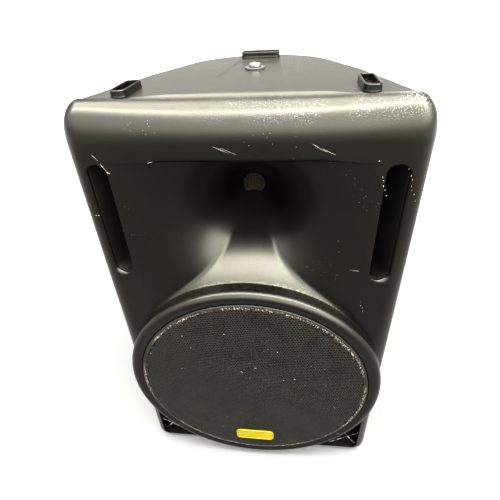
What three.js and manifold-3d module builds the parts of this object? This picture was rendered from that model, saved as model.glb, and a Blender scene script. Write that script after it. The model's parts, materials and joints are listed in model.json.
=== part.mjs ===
// A 15 inch two-way powered loudspeaker in a moulded cabinet.
// Millimetres. X is right as seen from the front, Y runs from front to back, Z is up.
// While it is built, Y = 0 is the flat front of the cabinet; at the end the whole
// assembly is moved so that the origin is under the middle of its box.

import * as THREE from 'three';
import { mergeVertices } from 'three/addons/utils/BufferGeometryUtils.js';
import Module from 'manifold-3d';

const wasm = await Module();
wasm.setup();

// ---------------------------------------------------------------- driving dimensions

const GAP = 0.3; // clearance between pieces that touch

const CABINET_WIDTH = 432;
const CABINET_TOP = 684;
const CABINET_BOTTOM = 5; // the rubber feet lift it this much
const CABINET_REAR = 337;
const CORNER_RADIUS = 28; // upright front corners, seen from above
const SIDE_TAPER = 0.44; // how far each side moves in for every millimetre of depth
const FRONT_TOP_ROUND = 46;
const REAR_TOP_ROUND = 9;
const BOTTOM_ROUND = 14;
const WALL = 4.5;
const SHELL_STEP = 1.6; // the rear shell is this much smaller than the front shell
const SEAM_DEPTH = 47; // where the two shells meet, on the centre line
const SEAM_BOW = 0.0011; // how fast the seam comes forward away from the centre line
const SEAM_STRAIGHT = 130; // the seam runs straight across outside this half width

const WOOFER_Z = 226;
const RING_RADIUS = 210;
const RING_PROUD = 24;
const RING_OPENING = 190.3;
const BAFFLE_OPENING = 176;
const RING_FACETS = 44; // flats round the woofer ring and what fits in it

const THROAT_Z = 530;
const THROAT_RADIUS = 12.7;
const HORN_DEPTH = 135;
const HORN_FLARE = 54; // depth falls by a factor e over this distance from the throat
const HORN_CURVE = 1.3; // 1 falls off as an exponential, 2 as a bell
const HORN_HALF_WIDTH = 160;
const HORN_DISH = 5;
const HORN_LIP_Z = 615;
const RAMP_LENGTH = 81; // from the woofer ring up to the floor of the throat
const RAMP_SLOPE = 1.2; // depth gained per mm where the ramp leaves the ring

const PORT_X = 177.5;
const PORT_WIDTH = 26;
const PORT_BOTTOM = 449;
const PORT_TOP = 614;
const PORT_LENGTH = 120;

const AMP_FACE_Y = 300; // outer face of the amplifier panel, sunk into the back
const AMP_HALF_WIDTH = 90;
const AMP_BOTTOM = 95;
const AMP_TOP = 425;
const AMP_THICKNESS = 3;

const HANDLE_DEPTH_Y = 150; // how far back along the side the hand hold is centred
const HANDLE_Z = 400;
const HANDLE_LENGTH = 140;
const HANDLE_HEIGHT = 64;
const HANDLE_SINK = 46;

const STACKING_LENGTH = 64;
const STACKING_HEIGHT = 8;

// ---------------------------------------------------------------- finishes

const finish = (color, roughness, metalness = 0) =>
  new THREE.MeshStandardMaterial({ color, roughness, metalness });

const BLACK_PLASTIC = finish(0x33302b, 0.42);
const DARK_PLASTIC = finish(0x1d1c1a, 0.5);
const GLOSS_BLACK = finish(0x121212, 0.25);
const RUBBER = finish(0x1a1a1a, 0.85);
const GRILLE_STEEL = finish(0x2b2622, 0.6, 0.4);
const YELLOW = finish(0xf0d211, 0.4);
const BRIGHT_STEEL = finish(0xb9bbbd, 0.3, 1);
const BLACK_STEEL = finish(0x26272a, 0.5, 0.7);
const FERRITE = finish(0x303134, 0.8, 0.1);
const PAPER = finish(0x1c1b1a, 0.9);
const CLOTH = finish(0x8a6a3a, 0.9);
const COPPER = finish(0xb06a3b, 0.4, 0.8);
const ALUMINIUM = finish(0x3a3b3d, 0.45, 0.9);
const BOARD_GREEN = finish(0x1f5a35, 0.6);
const BOARD_TAPE = finish(0xc9a227, 0.5);
const LAMP_GREEN = finish(0x49c46b, 0.2);
const LAMP_RED = finish(0xd2372b, 0.2);
const LEAD_RED = finish(0x8c1f1a, 0.6);

// ---------------------------------------------------------------- mesh helpers

// A closed, outward-facing copy of a geometry that keeps only positions.
function closed(geometry) {
  const bare = geometry.clone();
  bare.deleteAttribute('normal');
  bare.deleteAttribute('uv');
  const merged = mergeVertices(bare, 1e-3);
  const at = merged.attributes.position.array;
  const index = [];
  for (let i = 0; i < merged.index.count; i += 3) {
    const [a, b, c] = [0, 1, 2].map((k) => merged.index.array[i + k]);
    if (a !== b && b !== c && c !== a) index.push(a, b, c);
  }
  const point = (i) => new THREE.Vector3(at[3 * i], at[3 * i + 1], at[3 * i + 2]);
  let volume = 0;
  for (let i = 0; i < index.length; i += 3) {
    volume += point(index[i]).dot(point(index[i + 1]).cross(point(index[i + 2])));
  }
  if (volume < 0) index.reverse();
  merged.setIndex(index);
  return merged;
}

function solid(geometry) {
  const mesh = closed(geometry);
  return new wasm.Manifold(
    new wasm.Mesh({
      numProp: 3,
      vertProperties: new Float32Array(mesh.attributes.position.array),
      triVerts: new Uint32Array(mesh.index.array),
    }),
  );
}

function geometry(body) {
  const mesh = body.getMesh();
  const result = new THREE.BufferGeometry();
  result.setAttribute('position', new THREE.BufferAttribute(mesh.vertProperties, 3));
  result.setIndex([...mesh.triVerts]);
  return result;
}

const join = (...parts) => parts.reduce((sum, part) => sum.add(part));
const cut = (body, ...tools) => tools.reduce((rest, tool) => rest.subtract(tool), body);

// Extrudes a shape drawn in X and Z from yFrom to yTo.
function alongY(shape, yFrom, yTo, curveSegments = 4) {
  return new THREE.ExtrudeGeometry(shape, { depth: yTo - yFrom, bevelEnabled: false, curveSegments })
    .rotateX(Math.PI / 2)
    .translate(0, yTo, 0);
}

// Extrudes a shape drawn in Y and Z from xFrom to xTo.
function alongX(shape, xFrom, xTo, curveSegments = 3) {
  const yzToXyz = new THREE.Matrix4().set(0, 0, 1, 0, 1, 0, 0, 0, 0, 1, 0, 0, 0, 0, 0, 1);
  return new THREE.ExtrudeGeometry(shape, { depth: xTo - xFrom, bevelEnabled: false, curveSegments })
    .applyMatrix4(yzToXyz)
    .translate(xFrom, 0, 0);
}

// Extrudes a shape drawn in X and Y from zFrom to zTo.
function alongZ(shape, zFrom, zTo, curveSegments = 8) {
  return new THREE.ExtrudeGeometry(shape, { depth: zTo - zFrom, bevelEnabled: false, curveSegments })
    .translate(0, 0, zFrom);
}

// Turns a closed profile of [radius, y] pairs about the Y axis through (x, z).
function turned(profile, x, z, segments = 24) {
  const points = [...profile, profile[0]].map(([radius, y]) => new THREE.Vector2(radius, y));
  return new THREE.LatheGeometry(points, segments).translate(x, 0, z);
}

// The same about the Z axis through (x, y), from pairs of [radius, z].
function turnedUpright(profile, x, y, segments = 20) {
  const points = [...profile, profile[0]].map(([radius, z]) => new THREE.Vector2(radius, z));
  return new THREE.LatheGeometry(points, segments).rotateX(Math.PI / 2).translate(x, y, 0);
}

const discProfile = (radius, from, to) => [[0, from], [radius, from], [radius, to], [0, to]];
const ringProfile = (inner, outer, from, to) => [[inner, from], [outer, from], [outer, to], [inner, to]];

function box(xSize, ySize, zSize, x, y, z) {
  return new THREE.BoxGeometry(xSize, ySize, zSize).translate(x, y, z);
}

// A rectangle with round corners, centred on (cx, cy). A radius of half the
// shorter side makes a slot with round ends.
function roundedShape(width, height, radius, cx = 0, cy = 0) {
  const shape = new THREE.Shape();
  const dx = width / 2 - radius;
  const dy = height / 2 - radius;
  shape.absarc(cx + dx, cy - dy, radius, -Math.PI / 2, 0);
  shape.absarc(cx + dx, cy + dy, radius, 0, Math.PI / 2);
  shape.absarc(cx - dx, cy + dy, radius, Math.PI / 2, Math.PI);
  shape.absarc(cx - dx, cy - dy, radius, Math.PI, 1.5 * Math.PI);
  return shape;
}

function ringShape(outer, inner) {
  outer.holes.push(inner);
  return outer;
}

// ---------------------------------------------------------------- assembly

const speaker = new THREE.Group();
speaker.name = 'loudspeaker';

function add(name, shape, material) {
  const mesh = new THREE.Mesh(closed(shape), material);
  mesh.name = name;
  speaker.add(mesh);
}

const sides = [['left', -1], ['right', 1]];

// ---------------------------------------------------------------- cabinet outline

const sideNormal = new THREE.Vector2(1, SIDE_TAPER).normalize();
// Where the line of the side would cross the plane of the front.
const SIDE_START = CABINET_WIDTH / 2 + CORNER_RADIUS * ((1 + sideNormal.y) / sideNormal.x - 1);
const CORNER_X = CABINET_WIDTH / 2 - CORNER_RADIUS;
const BACK_RADIUS =
  (SIDE_START - SIDE_TAPER * CABINET_REAR) / (sideNormal.x + SIDE_TAPER * sideNormal.y - SIDE_TAPER);
const BACK_CENTRE_Y = CABINET_REAR - BACK_RADIUS;
const sideX = (y) => SIDE_START - SIDE_TAPER * y;

// The right half of the plan, from the middle of the front to the middle of the
// back: each entry is a point, its outward normal and the rounding of the top edge
// there, as the height and the width across of a quarter ellipse.
function halfPlan() {
  const plan = [];
  const sideAngle = Math.atan2(sideNormal.y, sideNormal.x);
  const put = (x, y, nx, ny, round, across) => plan.push({ x, y, nx, ny, round, across });
  const frontSteps = 5;
  for (let i = 0; i < frontSteps; i += 1) {
    const narrowing = (FRONT_TOP_ROUND - CORNER_RADIUS) * (i / frontSteps) ** 2;
    put((CORNER_X * i) / frontSteps, 0, 0, -1, FRONT_TOP_ROUND, FRONT_TOP_ROUND - narrowing);
  }
  const cornerSteps = 6;
  for (let i = 0; i <= cornerSteps; i += 1) {
    const angle = -Math.PI / 2 + ((sideAngle + Math.PI / 2) * i) / cornerSteps;
    const [nx, ny] = [Math.cos(angle), Math.sin(angle)];
    const [x, y] = [CORNER_X + CORNER_RADIUS * nx, CORNER_RADIUS * (1 + ny)];
    put(x, y, nx, ny, FRONT_TOP_ROUND, CORNER_RADIUS);
  }
  const sideFrom = CORNER_RADIUS * (1 + sideNormal.y);
  const sideTo = BACK_CENTRE_Y + BACK_RADIUS * sideNormal.y;
  const sideSteps = 5;
  for (let i = 1; i < sideSteps; i += 1) {
    const y = sideFrom + ((sideTo - sideFrom) * i) / sideSteps;
    const fade = Math.min(1, i / 3);
    const round = FRONT_TOP_ROUND + (REAR_TOP_ROUND - FRONT_TOP_ROUND) * fade;
    const across = CORNER_RADIUS + (REAR_TOP_ROUND - CORNER_RADIUS) * fade;
    put(sideX(y), y, sideNormal.x, sideNormal.y, round, across);
  }
  const backSteps = 7;
  for (let i = 0; i < backSteps; i += 1) {
    const angle = sideAngle + ((Math.PI / 2 - sideAngle) * i) / backSteps;
    const [nx, ny] = [Math.cos(angle), Math.sin(angle)];
    put(BACK_RADIUS * nx, BACK_CENTRE_Y + BACK_RADIUS * ny, nx, ny, REAR_TOP_ROUND, REAR_TOP_ROUND);
  }
  return plan;
}

function fullPlan() {
  const right = halfPlan();
  const back = { x: 0, y: CABINET_REAR, nx: 0, ny: 1, round: REAR_TOP_ROUND, across: REAR_TOP_ROUND };
  const left = right.slice(1).reverse().map((p) => ({ ...p, x: -p.x, nx: -p.nx }));
  return [...right, back, ...left];
}

// The cabinet as a closed solid, made smaller all round by inset. Each point of
// the plan becomes a column: bottom rounding, straight wall, top rounding.
function cabinetSolid(inset) {
  const plan = fullPlan();
  const bottomSteps = 2;
  const topSteps = 5;
  const [bottom, top] = [CABINET_BOTTOM + inset, CABINET_TOP - inset];
  const columns = plan.map(({ x, y, nx, ny, round, across }) => {
    const column = [];
    const put = (sink, z) => column.push([x - nx * sink, y - ny * sink, z]);
    for (let i = 0; i <= bottomSteps; i += 1) {
      const angle = (Math.PI / 2) * (i / bottomSteps);
      const radius = BOTTOM_ROUND - inset;
      put(inset + radius * (1 - Math.sin(angle)), bottom + radius * (1 - Math.cos(angle)));
    }
    const [rise, run] = [Math.max(round - inset, 2), Math.max(across - inset, 2)];
    for (let i = 0; i <= topSteps; i += 1) {
      const angle = (Math.PI / 2) * (i / topSteps);
      put(inset + run * (1 - Math.cos(angle)), top - rise * (1 - Math.sin(angle)));
    }
    return column;
  });
  const rows = columns[0].length;
  const middleY = CABINET_REAR / 2;
  const positions = [...columns.flat(2), 0, middleY, bottom, 0, middleY, top];
  const bottomCentre = columns.length * rows;
  const index = [];
  columns.forEach((_, i) => {
    const [here, next] = [i * rows, ((i + 1) % columns.length) * rows];
    for (let k = 0; k < rows - 1; k += 1) {
      index.push(here + k, next + k, next + k + 1, here + k, next + k + 1, here + k + 1);
    }
    index.push(next, here, bottomCentre, here + rows - 1, next + rows - 1, bottomCentre + 1);
  });
  const result = new THREE.BufferGeometry();
  result.setAttribute('position', new THREE.Float32BufferAttribute(positions, 3));
  result.setIndex(index);
  return solid(result);
}

// Everything in front of (or behind) the bowed seam between the two shells.
function seamRegion(front, offset) {
  const shape = new THREE.Shape();
  const reach = CABINET_WIDTH;
  const far = front ? -reach : 2 * reach;
  const steps = 16;
  shape.moveTo(-reach / 1.5, far);
  shape.lineTo(reach / 1.5, far);
  for (let i = steps; i >= -steps; i -= 1) {
    const x = (reach / 1.9) * (i / steps);
    const bent = Math.min(Math.abs(x), SEAM_STRAIGHT);
    shape.lineTo(x, SEAM_DEPTH - SEAM_BOW * bent * bent + offset);
  }
  return solid(alongZ(shape, -10, CABINET_TOP + 50));
}

// ---------------------------------------------------------------- horn surface

// Depth of the horn behind the front plane at (x, z): a flared bowl round the
// throat, with a ramp in front of it that runs down to the woofer ring. Inside the
// ring the ramp goes on forwards, so it meets the ring's outer wall cleanly.
function hornDepth(x, z) {
  const fromThroat = Math.max(0, Math.hypot(x, z - THROAT_Z) - THROAT_RADIUS);
  const fade = 1 - Math.min(1, Math.abs(x) / HORN_HALF_WIDTH) ** 4;
  const dish = HORN_DISH * (1 - (x / HORN_HALF_WIDTH) ** 2);
  const bowl = HORN_DEPTH * Math.exp(-((fromThroat / HORN_FLARE) ** HORN_CURVE)) * fade + dish;
  const fromRing = Math.hypot(x, z - WOOFER_Z) - RING_RADIUS;
  const climb = Math.max(0, fromRing / RAMP_LENGTH);
  const ramp = RAMP_SLOPE * fromRing + (HORN_DEPTH - RAMP_SLOPE * RAMP_LENGTH) * climb ** 2;
  return Math.min(bowl, ramp, HORN_DEPTH);
}

// A block with a flat front at yFront and the horn surface, moved back by
// offset, as its rear face. It is at least 1 mm thick everywhere.
function hornBlock(yFront, offset) {
  const columns = 19;
  const rows = 16;
  const zBottom = WOOFER_Z + RING_RADIUS * 0.6;
  const zTop = HORN_LIP_Z + Math.max(0, offset);
  const positions = [];
  // Puts more of the columns near the throat, where the surface is steepest.
  const spread = (t) => Math.sign(t) * (0.35 * Math.abs(t) + 0.65 * t * t);
  for (let j = 0; j < rows; j += 1) {
    for (let i = 0; i < columns; i += 1) {
      const x = HORN_HALF_WIDTH * spread((2 * i) / (columns - 1) - 1);
      const z = zBottom + (zTop - zBottom) * (j / (rows - 1));
      const depth = hornDepth(x, Math.min(z, HORN_LIP_Z)) + offset;
      positions.push(x, yFront, z, x, Math.max(yFront + 1, depth), z);
    }
  }
  const at = (i, j, side) => 2 * (j * columns + i) + side;
  const index = [];
  const quad = (a, b, c, d) => index.push(a, b, c, a, c, d);
  for (let j = 0; j < rows - 1; j += 1) {
    for (let i = 0; i < columns - 1; i += 1) {
      quad(at(i, j, 0), at(i + 1, j, 0), at(i + 1, j + 1, 0), at(i, j + 1, 0));
      quad(at(i, j, 1), at(i, j + 1, 1), at(i + 1, j + 1, 1), at(i + 1, j, 1));
    }
  }
  for (let i = 0; i < columns - 1; i += 1) {
    quad(at(i, 0, 0), at(i, 0, 1), at(i + 1, 0, 1), at(i + 1, 0, 0));
    quad(at(i, rows - 1, 0), at(i + 1, rows - 1, 0), at(i + 1, rows - 1, 1), at(i, rows - 1, 1));
  }
  for (let j = 0; j < rows - 1; j += 1) {
    quad(at(0, j, 0), at(0, j + 1, 0), at(0, j + 1, 1), at(0, j, 1));
    quad(at(columns - 1, j, 0), at(columns - 1, j, 1), at(columns - 1, j + 1, 1), at(columns - 1, j + 1, 0));
  }
  const result = new THREE.BufferGeometry();
  result.setAttribute('position', new THREE.Float32BufferAttribute(positions, 3));
  result.setIndex(index);
  return solid(result);
}

// ---------------------------------------------------------------- front shell

const POCKET_RADIUS = RING_RADIUS + 3; // corner pockets stay this far from the ring's centre
const POCKET_OUTER_X = 198;
const POCKET_BOTTOM = 15;
const POCKET_TOP = 145;
const POCKET_INNER_X = 92;
const POCKET_DEPTH = 46;
const RIB = 3;

// The open pocket between the woofer ring and a lower corner, grown by extra.
function pocketShape(extra) {
  const radius = POCKET_RADIUS - extra;
  const angleAt = (x, z) => Math.atan2(z - WOOFER_Z, x);
  const upperX = Math.sqrt(radius ** 2 - (POCKET_TOP + extra - WOOFER_Z) ** 2);
  const lowerZ = WOOFER_Z - Math.sqrt(radius ** 2 - (POCKET_INNER_X - extra) ** 2);
  const shape = new THREE.Shape();
  shape.moveTo(POCKET_INNER_X - extra, POCKET_BOTTOM - extra);
  shape.lineTo(POCKET_OUTER_X + extra, POCKET_BOTTOM - extra);
  shape.lineTo(POCKET_OUTER_X + extra, POCKET_TOP + extra);
  shape.lineTo(upperX, POCKET_TOP + extra);
  shape.absarc(
    0, WOOFER_Z, radius,
    angleAt(upperX, POCKET_TOP + extra), angleAt(POCKET_INNER_X - extra, lowerZ), true,
  );
  return shape;
}

// One thin rib across a corner pocket, from point to point in X and Z.
function pocketRib([x1, z1], [x2, z2]) {
  const length = Math.hypot(x2 - x1, z2 - z1);
  return new THREE.BoxGeometry(length, POCKET_DEPTH - 6, RIB)
    .rotateY(-Math.atan2(z2 - z1, x2 - x1))
    .translate((x1 + x2) / 2, POCKET_DEPTH / 2 + 5, (z1 + z2) / 2);
}

function cornerPocket(side) {
  const flip = (shape) => (side < 0 ? shape.scale(-1, 1, 1) : shape);
  const wall = 3.5;
  const ribEnds = [
    [[POCKET_OUTER_X + 2, POCKET_BOTTOM - 2], [148, 88]],
    [[POCKET_OUTER_X + 2, 58], [142, POCKET_BOTTOM - 2]],
    [[POCKET_OUTER_X + 2, 100], [166, 58]],
    [[128, POCKET_BOTTOM - 2], [118, 66]],
  ];
  const arcRib = new THREE.Shape();
  arcRib.absarc(0, WOOFER_Z, POCKET_RADIUS + 18, -1.1, -0.42, false);
  arcRib.absarc(0, WOOFER_Z, POCKET_RADIUS + 18 + RIB, -0.42, -1.1, true);
  const opening = solid(flip(alongY(pocketShape(0), -40, POCKET_DEPTH)));
  const ribs = join(
    ...ribEnds.map(([from, to]) => solid(flip(pocketRib(from, to)))),
    solid(flip(alongY(arcRib, 8, POCKET_DEPTH + 1))),
  ).intersect(solid(flip(alongY(pocketShape(0.5), 1, POCKET_DEPTH + 1))));
  const walls = solid(flip(alongY(pocketShape(wall), 1, POCKET_DEPTH + wall)));
  return { walls, opening, ribs };
}

function frontShell() {
  const outer = cabinetSolid(0);
  const skin = cut(outer, cabinetSolid(WALL)).intersect(seamRegion(true, -GAP / 2));
  // Walls behind the skin may reach past the seam, inside the rear shell.
  const inside = join(
    cabinetSolid(2).intersect(seamRegion(true, -GAP / 2)),
    cabinetSolid(SHELL_STEP + WALL + 2 * GAP),
  );
  const pockets = sides.map(([, side]) => cornerPocket(side));
  const crestRound = 11;
  const crest = [];
  for (let i = 0; i <= 3; i += 1) {
    const angle = (Math.PI / 2) * (i / 3);
    crest.push([
      RING_RADIUS - crestRound * (1 - Math.cos(angle)),
      -RING_PROUD + crestRound * (1 - Math.sin(angle)),
    ]);
  }
  const aroundWoofer = (profile) => solid(turned(profile, 0, WOOFER_Z, RING_FACETS));
  const aroundThroat = (profile) => solid(turned(profile, 0, THROAT_Z));
  const ring = aroundWoofer([
    [RING_OPENING, WALL], [RING_RADIUS, WALL], ...crest, [RING_OPENING, -RING_PROUD],
  ]);
  const ringFoot = aroundWoofer(ringProfile(BAFFLE_OPENING, RING_RADIUS + 8, 0.5, WALL + 6));
  const woofer = aroundWoofer(discProfile(BAFFLE_OPENING, -40, 60));
  const throatBoss = aroundThroat(discProfile(40, HORN_DEPTH - 3, HORN_DEPTH + 5));
  const throat = aroundThroat(discProfile(THROAT_RADIUS, HORN_DEPTH - 20, HORN_DEPTH + 20));
  const ports = sides.map(([, side]) => {
    const height = PORT_TOP - PORT_BOTTOM;
    const middle = PORT_BOTTOM + height / 2;
    const slot = roundedShape(PORT_WIDTH, height, PORT_WIDTH / 2, side * PORT_X, middle);
    return solid(alongY(slot, -10, WALL + 10));
  });
  const air = hornBlock(-50, -GAP);
  const walls = join(
    skin,
    ringFoot.intersect(inside),
    ...pockets.map((pocket) => pocket.walls.intersect(inside)),
    hornBlock(1, WALL),
    throatBoss,
  );
  const pocketOpenings = pockets.map((pocket) => pocket.opening);
  const pocketRibs = pockets.map((pocket) => pocket.ribs.intersect(inside));
  const opened = cut(walls, air, throat, woofer, ...ports, ...pocketOpenings);
  return cut(join(opened, ring, ...pocketRibs), woofer);
}

add('front_shell', geometry(frontShell()), BLACK_PLASTIC);

// ---------------------------------------------------------------- rear shell

const RIGGING_Y = 205;
const POLE_SOCKET_Y = 150;
const PLATE_Y = AMP_FACE_Y - AMP_THICKNESS;

// Places a shape built round the origin, with +X pointing out, on the side wall.
function onSideWall(shape, side) {
  const turn = Math.atan2(sideNormal.y, sideNormal.x);
  shape.rotateZ(turn).translate(sideX(HANDLE_DEPTH_Y), HANDLE_DEPTH_Y, HANDLE_Z);
  return side < 0 ? shape.scale(-1, 1, 1) : shape;
}

const handleShape = (grow) =>
  roundedShape(HANDLE_LENGTH + 2 * grow, HANDLE_HEIGHT + 2 * grow, HANDLE_HEIGHT / 2 + grow);

function rearShell() {
  const outer = cabinetSolid(SHELL_STEP);
  const skin = cut(outer, cabinetSolid(SHELL_STEP + WALL));
  const middleZ = (AMP_BOTTOM + AMP_TOP) / 2;
  const bayHeight = AMP_TOP - AMP_BOTTOM;
  const reach = 200;
  const bay = (grow, yFrom) => solid(
    box(2 * (AMP_HALF_WIDTH + grow), reach, bayHeight + 2 * grow, 0, yFrom + reach / 2, middleZ),
  );
  const openings = sides.map(([, side]) => solid(onSideWall(alongX(handleShape(1), -20, 20), side)));
  // A shallow trapezium in the top round the rigging point, narrower at the back.
  const rigging = new THREE.Shape([
    new THREE.Vector2(-46, RIGGING_Y - 65), new THREE.Vector2(46, RIGGING_Y - 65),
    new THREE.Vector2(32, RIGGING_Y + 71), new THREE.Vector2(-32, RIGGING_Y + 71),
  ]);
  return cut(
    join(skin, bay(7, PLATE_Y - 5).intersect(outer)),
    bay(2, PLATE_Y - GAP),
    bay(-10, PLATE_Y - 40),
    ...openings,
    solid(alongZ(rigging, CABINET_TOP - SHELL_STEP - 2, CABINET_TOP + 20)),
    solid(turnedUpright(discProfile(9, CABINET_TOP - 30, CABINET_TOP + 20), 0, RIGGING_Y)),
    solid(turnedUpright(discProfile(24, -10, CABINET_BOTTOM + 30), 0, POLE_SOCKET_Y)),
  ).intersect(seamRegion(false, GAP / 2));
}

add('rear_shell', geometry(rearShell()), BLACK_PLASTIC);

// ---------------------------------------------------------------- grille and badge

const GRILLE_RADIUS = RING_OPENING - 0.8;
const GRILLE_DOME = 7;
const grilleY = (radius) => -RING_PROUD - GRILLE_DOME * (1 - (radius / GRILLE_RADIUS) ** 2);

function grille() {
  const thickness = 1.5;
  const skirtEnd = -7.6;
  const steps = 3;
  const dome = Array.from({ length: steps + 1 }, (_, i) => (GRILLE_RADIUS * i) / steps);
  const inner = dome.map((radius) => radius * ((GRILLE_RADIUS - thickness) / GRILLE_RADIUS)).reverse();
  return turned([
    ...dome.map((radius) => [radius, grilleY(radius)]),
    [GRILLE_RADIUS, skirtEnd],
    [GRILLE_RADIUS - thickness, skirtEnd],
    ...inner.map((radius) => [radius, grilleY(radius) + thickness]),
  ], 0, WOOFER_Z, RING_FACETS);
}

const BADGE_DROP = 136; // below the centre of the grille
const BADGE_BACK = grilleY(BADGE_DROP - 14) - GAP; // clears the upper edge of the badge
const badgeShape = roundedShape(70, 28, 8, 0, WOOFER_Z - BADGE_DROP);
add('woofer_grille', grille(), GRILLE_STEEL);
add('grille_badge', alongY(badgeShape, BADGE_BACK - 2, BADGE_BACK), YELLOW);

// ---------------------------------------------------------------- high frequency driver

const DRIVER_Y = HORN_DEPTH + 5 + GAP;
const driverPart = (name, profile, material) => add(name, turned(profile, 0, THROAT_Z), material);
driverPart('throat_screen', discProfile(THROAT_RADIUS - 0.4, HORN_DEPTH, HORN_DEPTH + 1), BRIGHT_STEEL);
driverPart('hf_driver_flange', ringProfile(THROAT_RADIUS, 42, DRIVER_Y, DRIVER_Y + 8), BLACK_STEEL);
driverPart('hf_driver_magnet', ringProfile(8, 56, DRIVER_Y + 8 + GAP, DRIVER_Y + 42), FERRITE);
driverPart('hf_driver_cover', discProfile(46, DRIVER_Y + 42 + GAP, DRIVER_Y + 58), DARK_PLASTIC);

// ---------------------------------------------------------------- woofer

const FLANGE_FRONT = -5;
const FLANGE_RADIUS = GRILLE_RADIUS;
const FRAME_INNER = BAFFLE_OPENING - 4;
const CONE_OUTER = 149.4;
const CONE_FRONT = -3;
const CONE_NECK = 51;
const CONE_BACK = 62;
const COIL_RADIUS = 49;
const COIL_END = 112;
const SPIDER_Y = 80;
const SPIDER_OUTER = 76;
const MAGNET_FRONT = 98;

const wooferPart = (name, profile, material, facets = 28) =>
  add(name, turned(profile, 0, WOOFER_Z, facets), material);

function basket() {
  const ring = (facets, ...profile) => solid(turned(ringProfile(...profile), 0, WOOFER_Z, facets));
  const flange = ring(RING_FACETS, FRAME_INNER, FLANGE_RADIUS, FLANGE_FRONT, -GAP);
  const collar = ring(RING_FACETS, FRAME_INNER, FRAME_INNER + 2, FLANGE_FRONT + 1, 12);
  const seat = ring(28, 54, 86, MAGNET_FRONT - 6, MAGNET_FRONT - GAP);
  const leg = new THREE.Shape([
    new THREE.Vector2(3, FRAME_INNER + 1.5), new THREE.Vector2(12, FRAME_INNER + 2),
    new THREE.Vector2(MAGNET_FRONT - 2, 84), new THREE.Vector2(MAGNET_FRONT - 5, 77),
  ]);
  const legs = [0, 1, 2, 3, 4, 5].map((i) =>
    solid(alongX(leg, -9, 9).rotateY((i * Math.PI) / 3).translate(0, 0, WOOFER_Z)),
  );
  return join(flange, collar, seat, ...legs);
}

// A thin turned sheet that follows yAt between two radii.
function turnedSheet(inner, outer, thickness, steps, yAt) {
  const front = Array.from({ length: steps + 1 }, (_, i) => inner + ((outer - inner) * i) / steps);
  const back = [...front].reverse();
  return turned([
    ...front.map((radius) => [radius, yAt(radius)]),
    ...back.map((radius) => [radius, yAt(radius) + thickness]),
  ], 0, WOOFER_Z, (RING_FACETS * 2) / 3);
}

const coneY = (radius) =>
  CONE_FRONT + ((CONE_BACK - CONE_FRONT) * (CONE_OUTER - radius)) / (CONE_OUTER - CONE_NECK);
const surroundInner = CONE_OUTER + GAP;
const surroundOuter = FRAME_INNER - 2 * GAP;
const surroundY = (radius) =>
  CONE_FRONT - 7 * Math.sin((Math.PI * (radius - surroundInner)) / (surroundOuter - surroundInner));
const spiderInner = COIL_RADIUS + 1.4;
const SPIDER_ROLL = 12.8; // from one crest of the spider to the next
const spiderY = (radius) => SPIDER_Y + 1.6 * Math.sin((2 * Math.PI * (radius - spiderInner)) / SPIDER_ROLL);
const dustCapY = (radius) => CONE_BACK - 15 * (1 - (radius / CONE_NECK) ** 2);

add('woofer_basket', geometry(basket()), BLACK_STEEL);
wooferPart('woofer_gasket', ringProfile(
  FRAME_INNER + 2, FLANGE_RADIUS, FLANGE_FRONT - 2, FLANGE_FRONT - GAP,
), RUBBER, RING_FACETS);
add('woofer_surround', turnedSheet(surroundInner, surroundOuter, 1.2, 4, surroundY), CLOTH);
add('woofer_cone', turnedSheet(CONE_NECK, CONE_OUTER, 1.4, 1, coneY), PAPER);
add('dust_cap', turnedSheet(0, CONE_NECK - GAP - 1, 1.2, 3, dustCapY), PAPER);
add('spider', turnedSheet(spiderInner, SPIDER_OUTER, 0.9, 4, spiderY), CLOTH);

// A thin former with a thicker winding round its rear end.
const WINDING_START = COIL_END - 15;
wooferPart('voice_coil', [
  [COIL_RADIUS, CONE_BACK + 2.2], [COIL_RADIUS + 1, CONE_BACK + 2.2],
  [COIL_RADIUS + 1, WINDING_START], [COIL_RADIUS + 2, WINDING_START],
  [COIL_RADIUS + 2, COIL_END], [COIL_RADIUS, COIL_END],
], COPPER);

// The magnet ring is held between two plates; the pole stands inside the coil.
const TOP_PLATE_END = MAGNET_FRONT + 8;
const MAGNET_END = TOP_PLATE_END + 30;
const BACK_PLATE_END = MAGNET_END + 9;
const POLE_RADIUS = COIL_RADIUS - 1.6;
const VENT_RADIUS = 10;
wooferPart('woofer_top_plate', ringProfile(52.5, 84, MAGNET_FRONT, TOP_PLATE_END), BLACK_STEEL);
wooferPart('woofer_magnet', ringProfile(60, 92, TOP_PLATE_END + GAP, MAGNET_END), FERRITE);
wooferPart('woofer_back_plate', [
  [VENT_RADIUS, MAGNET_FRONT + 2], [POLE_RADIUS, MAGNET_FRONT + 2], [POLE_RADIUS, MAGNET_END + GAP],
  [82, MAGNET_END + GAP], [82, BACK_PLATE_END], [VENT_RADIUS, BACK_PLATE_END],
], BLACK_STEEL);

// ---------------------------------------------------------------- ports, one behind each slot

for (const [name, side] of sides) {
  const height = PORT_TOP - PORT_BOTTOM;
  const middle = PORT_BOTTOM + height / 2;
  const slot = (grow) =>
    roundedShape(PORT_WIDTH + 2 * grow, height + 2 * grow, PORT_WIDTH / 2 + grow, 0, middle);
  const wall = 3;
  const start = WALL + 4 * GAP;
  const duct = alongY(ringShape(slot(wall), slot(0)), 0, PORT_LENGTH, 3);
  // The duct leans inwards so that it runs beside the tapered side of the cabinet.
  const lean = new THREE.Matrix4().set(
    1, -side * SIDE_TAPER, 0, side * PORT_X,
    0, 1, 0, start,
    0, 0, 1, 0,
    0, 0, 0, 1,
  );
  add(`port_duct_${name}`, duct.applyMatrix4(lean), DARK_PLASTIC);
}

// ---------------------------------------------------------------- stacking rings and rigging on top

const REAR_TOP = CABINET_TOP - SHELL_STEP;

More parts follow.
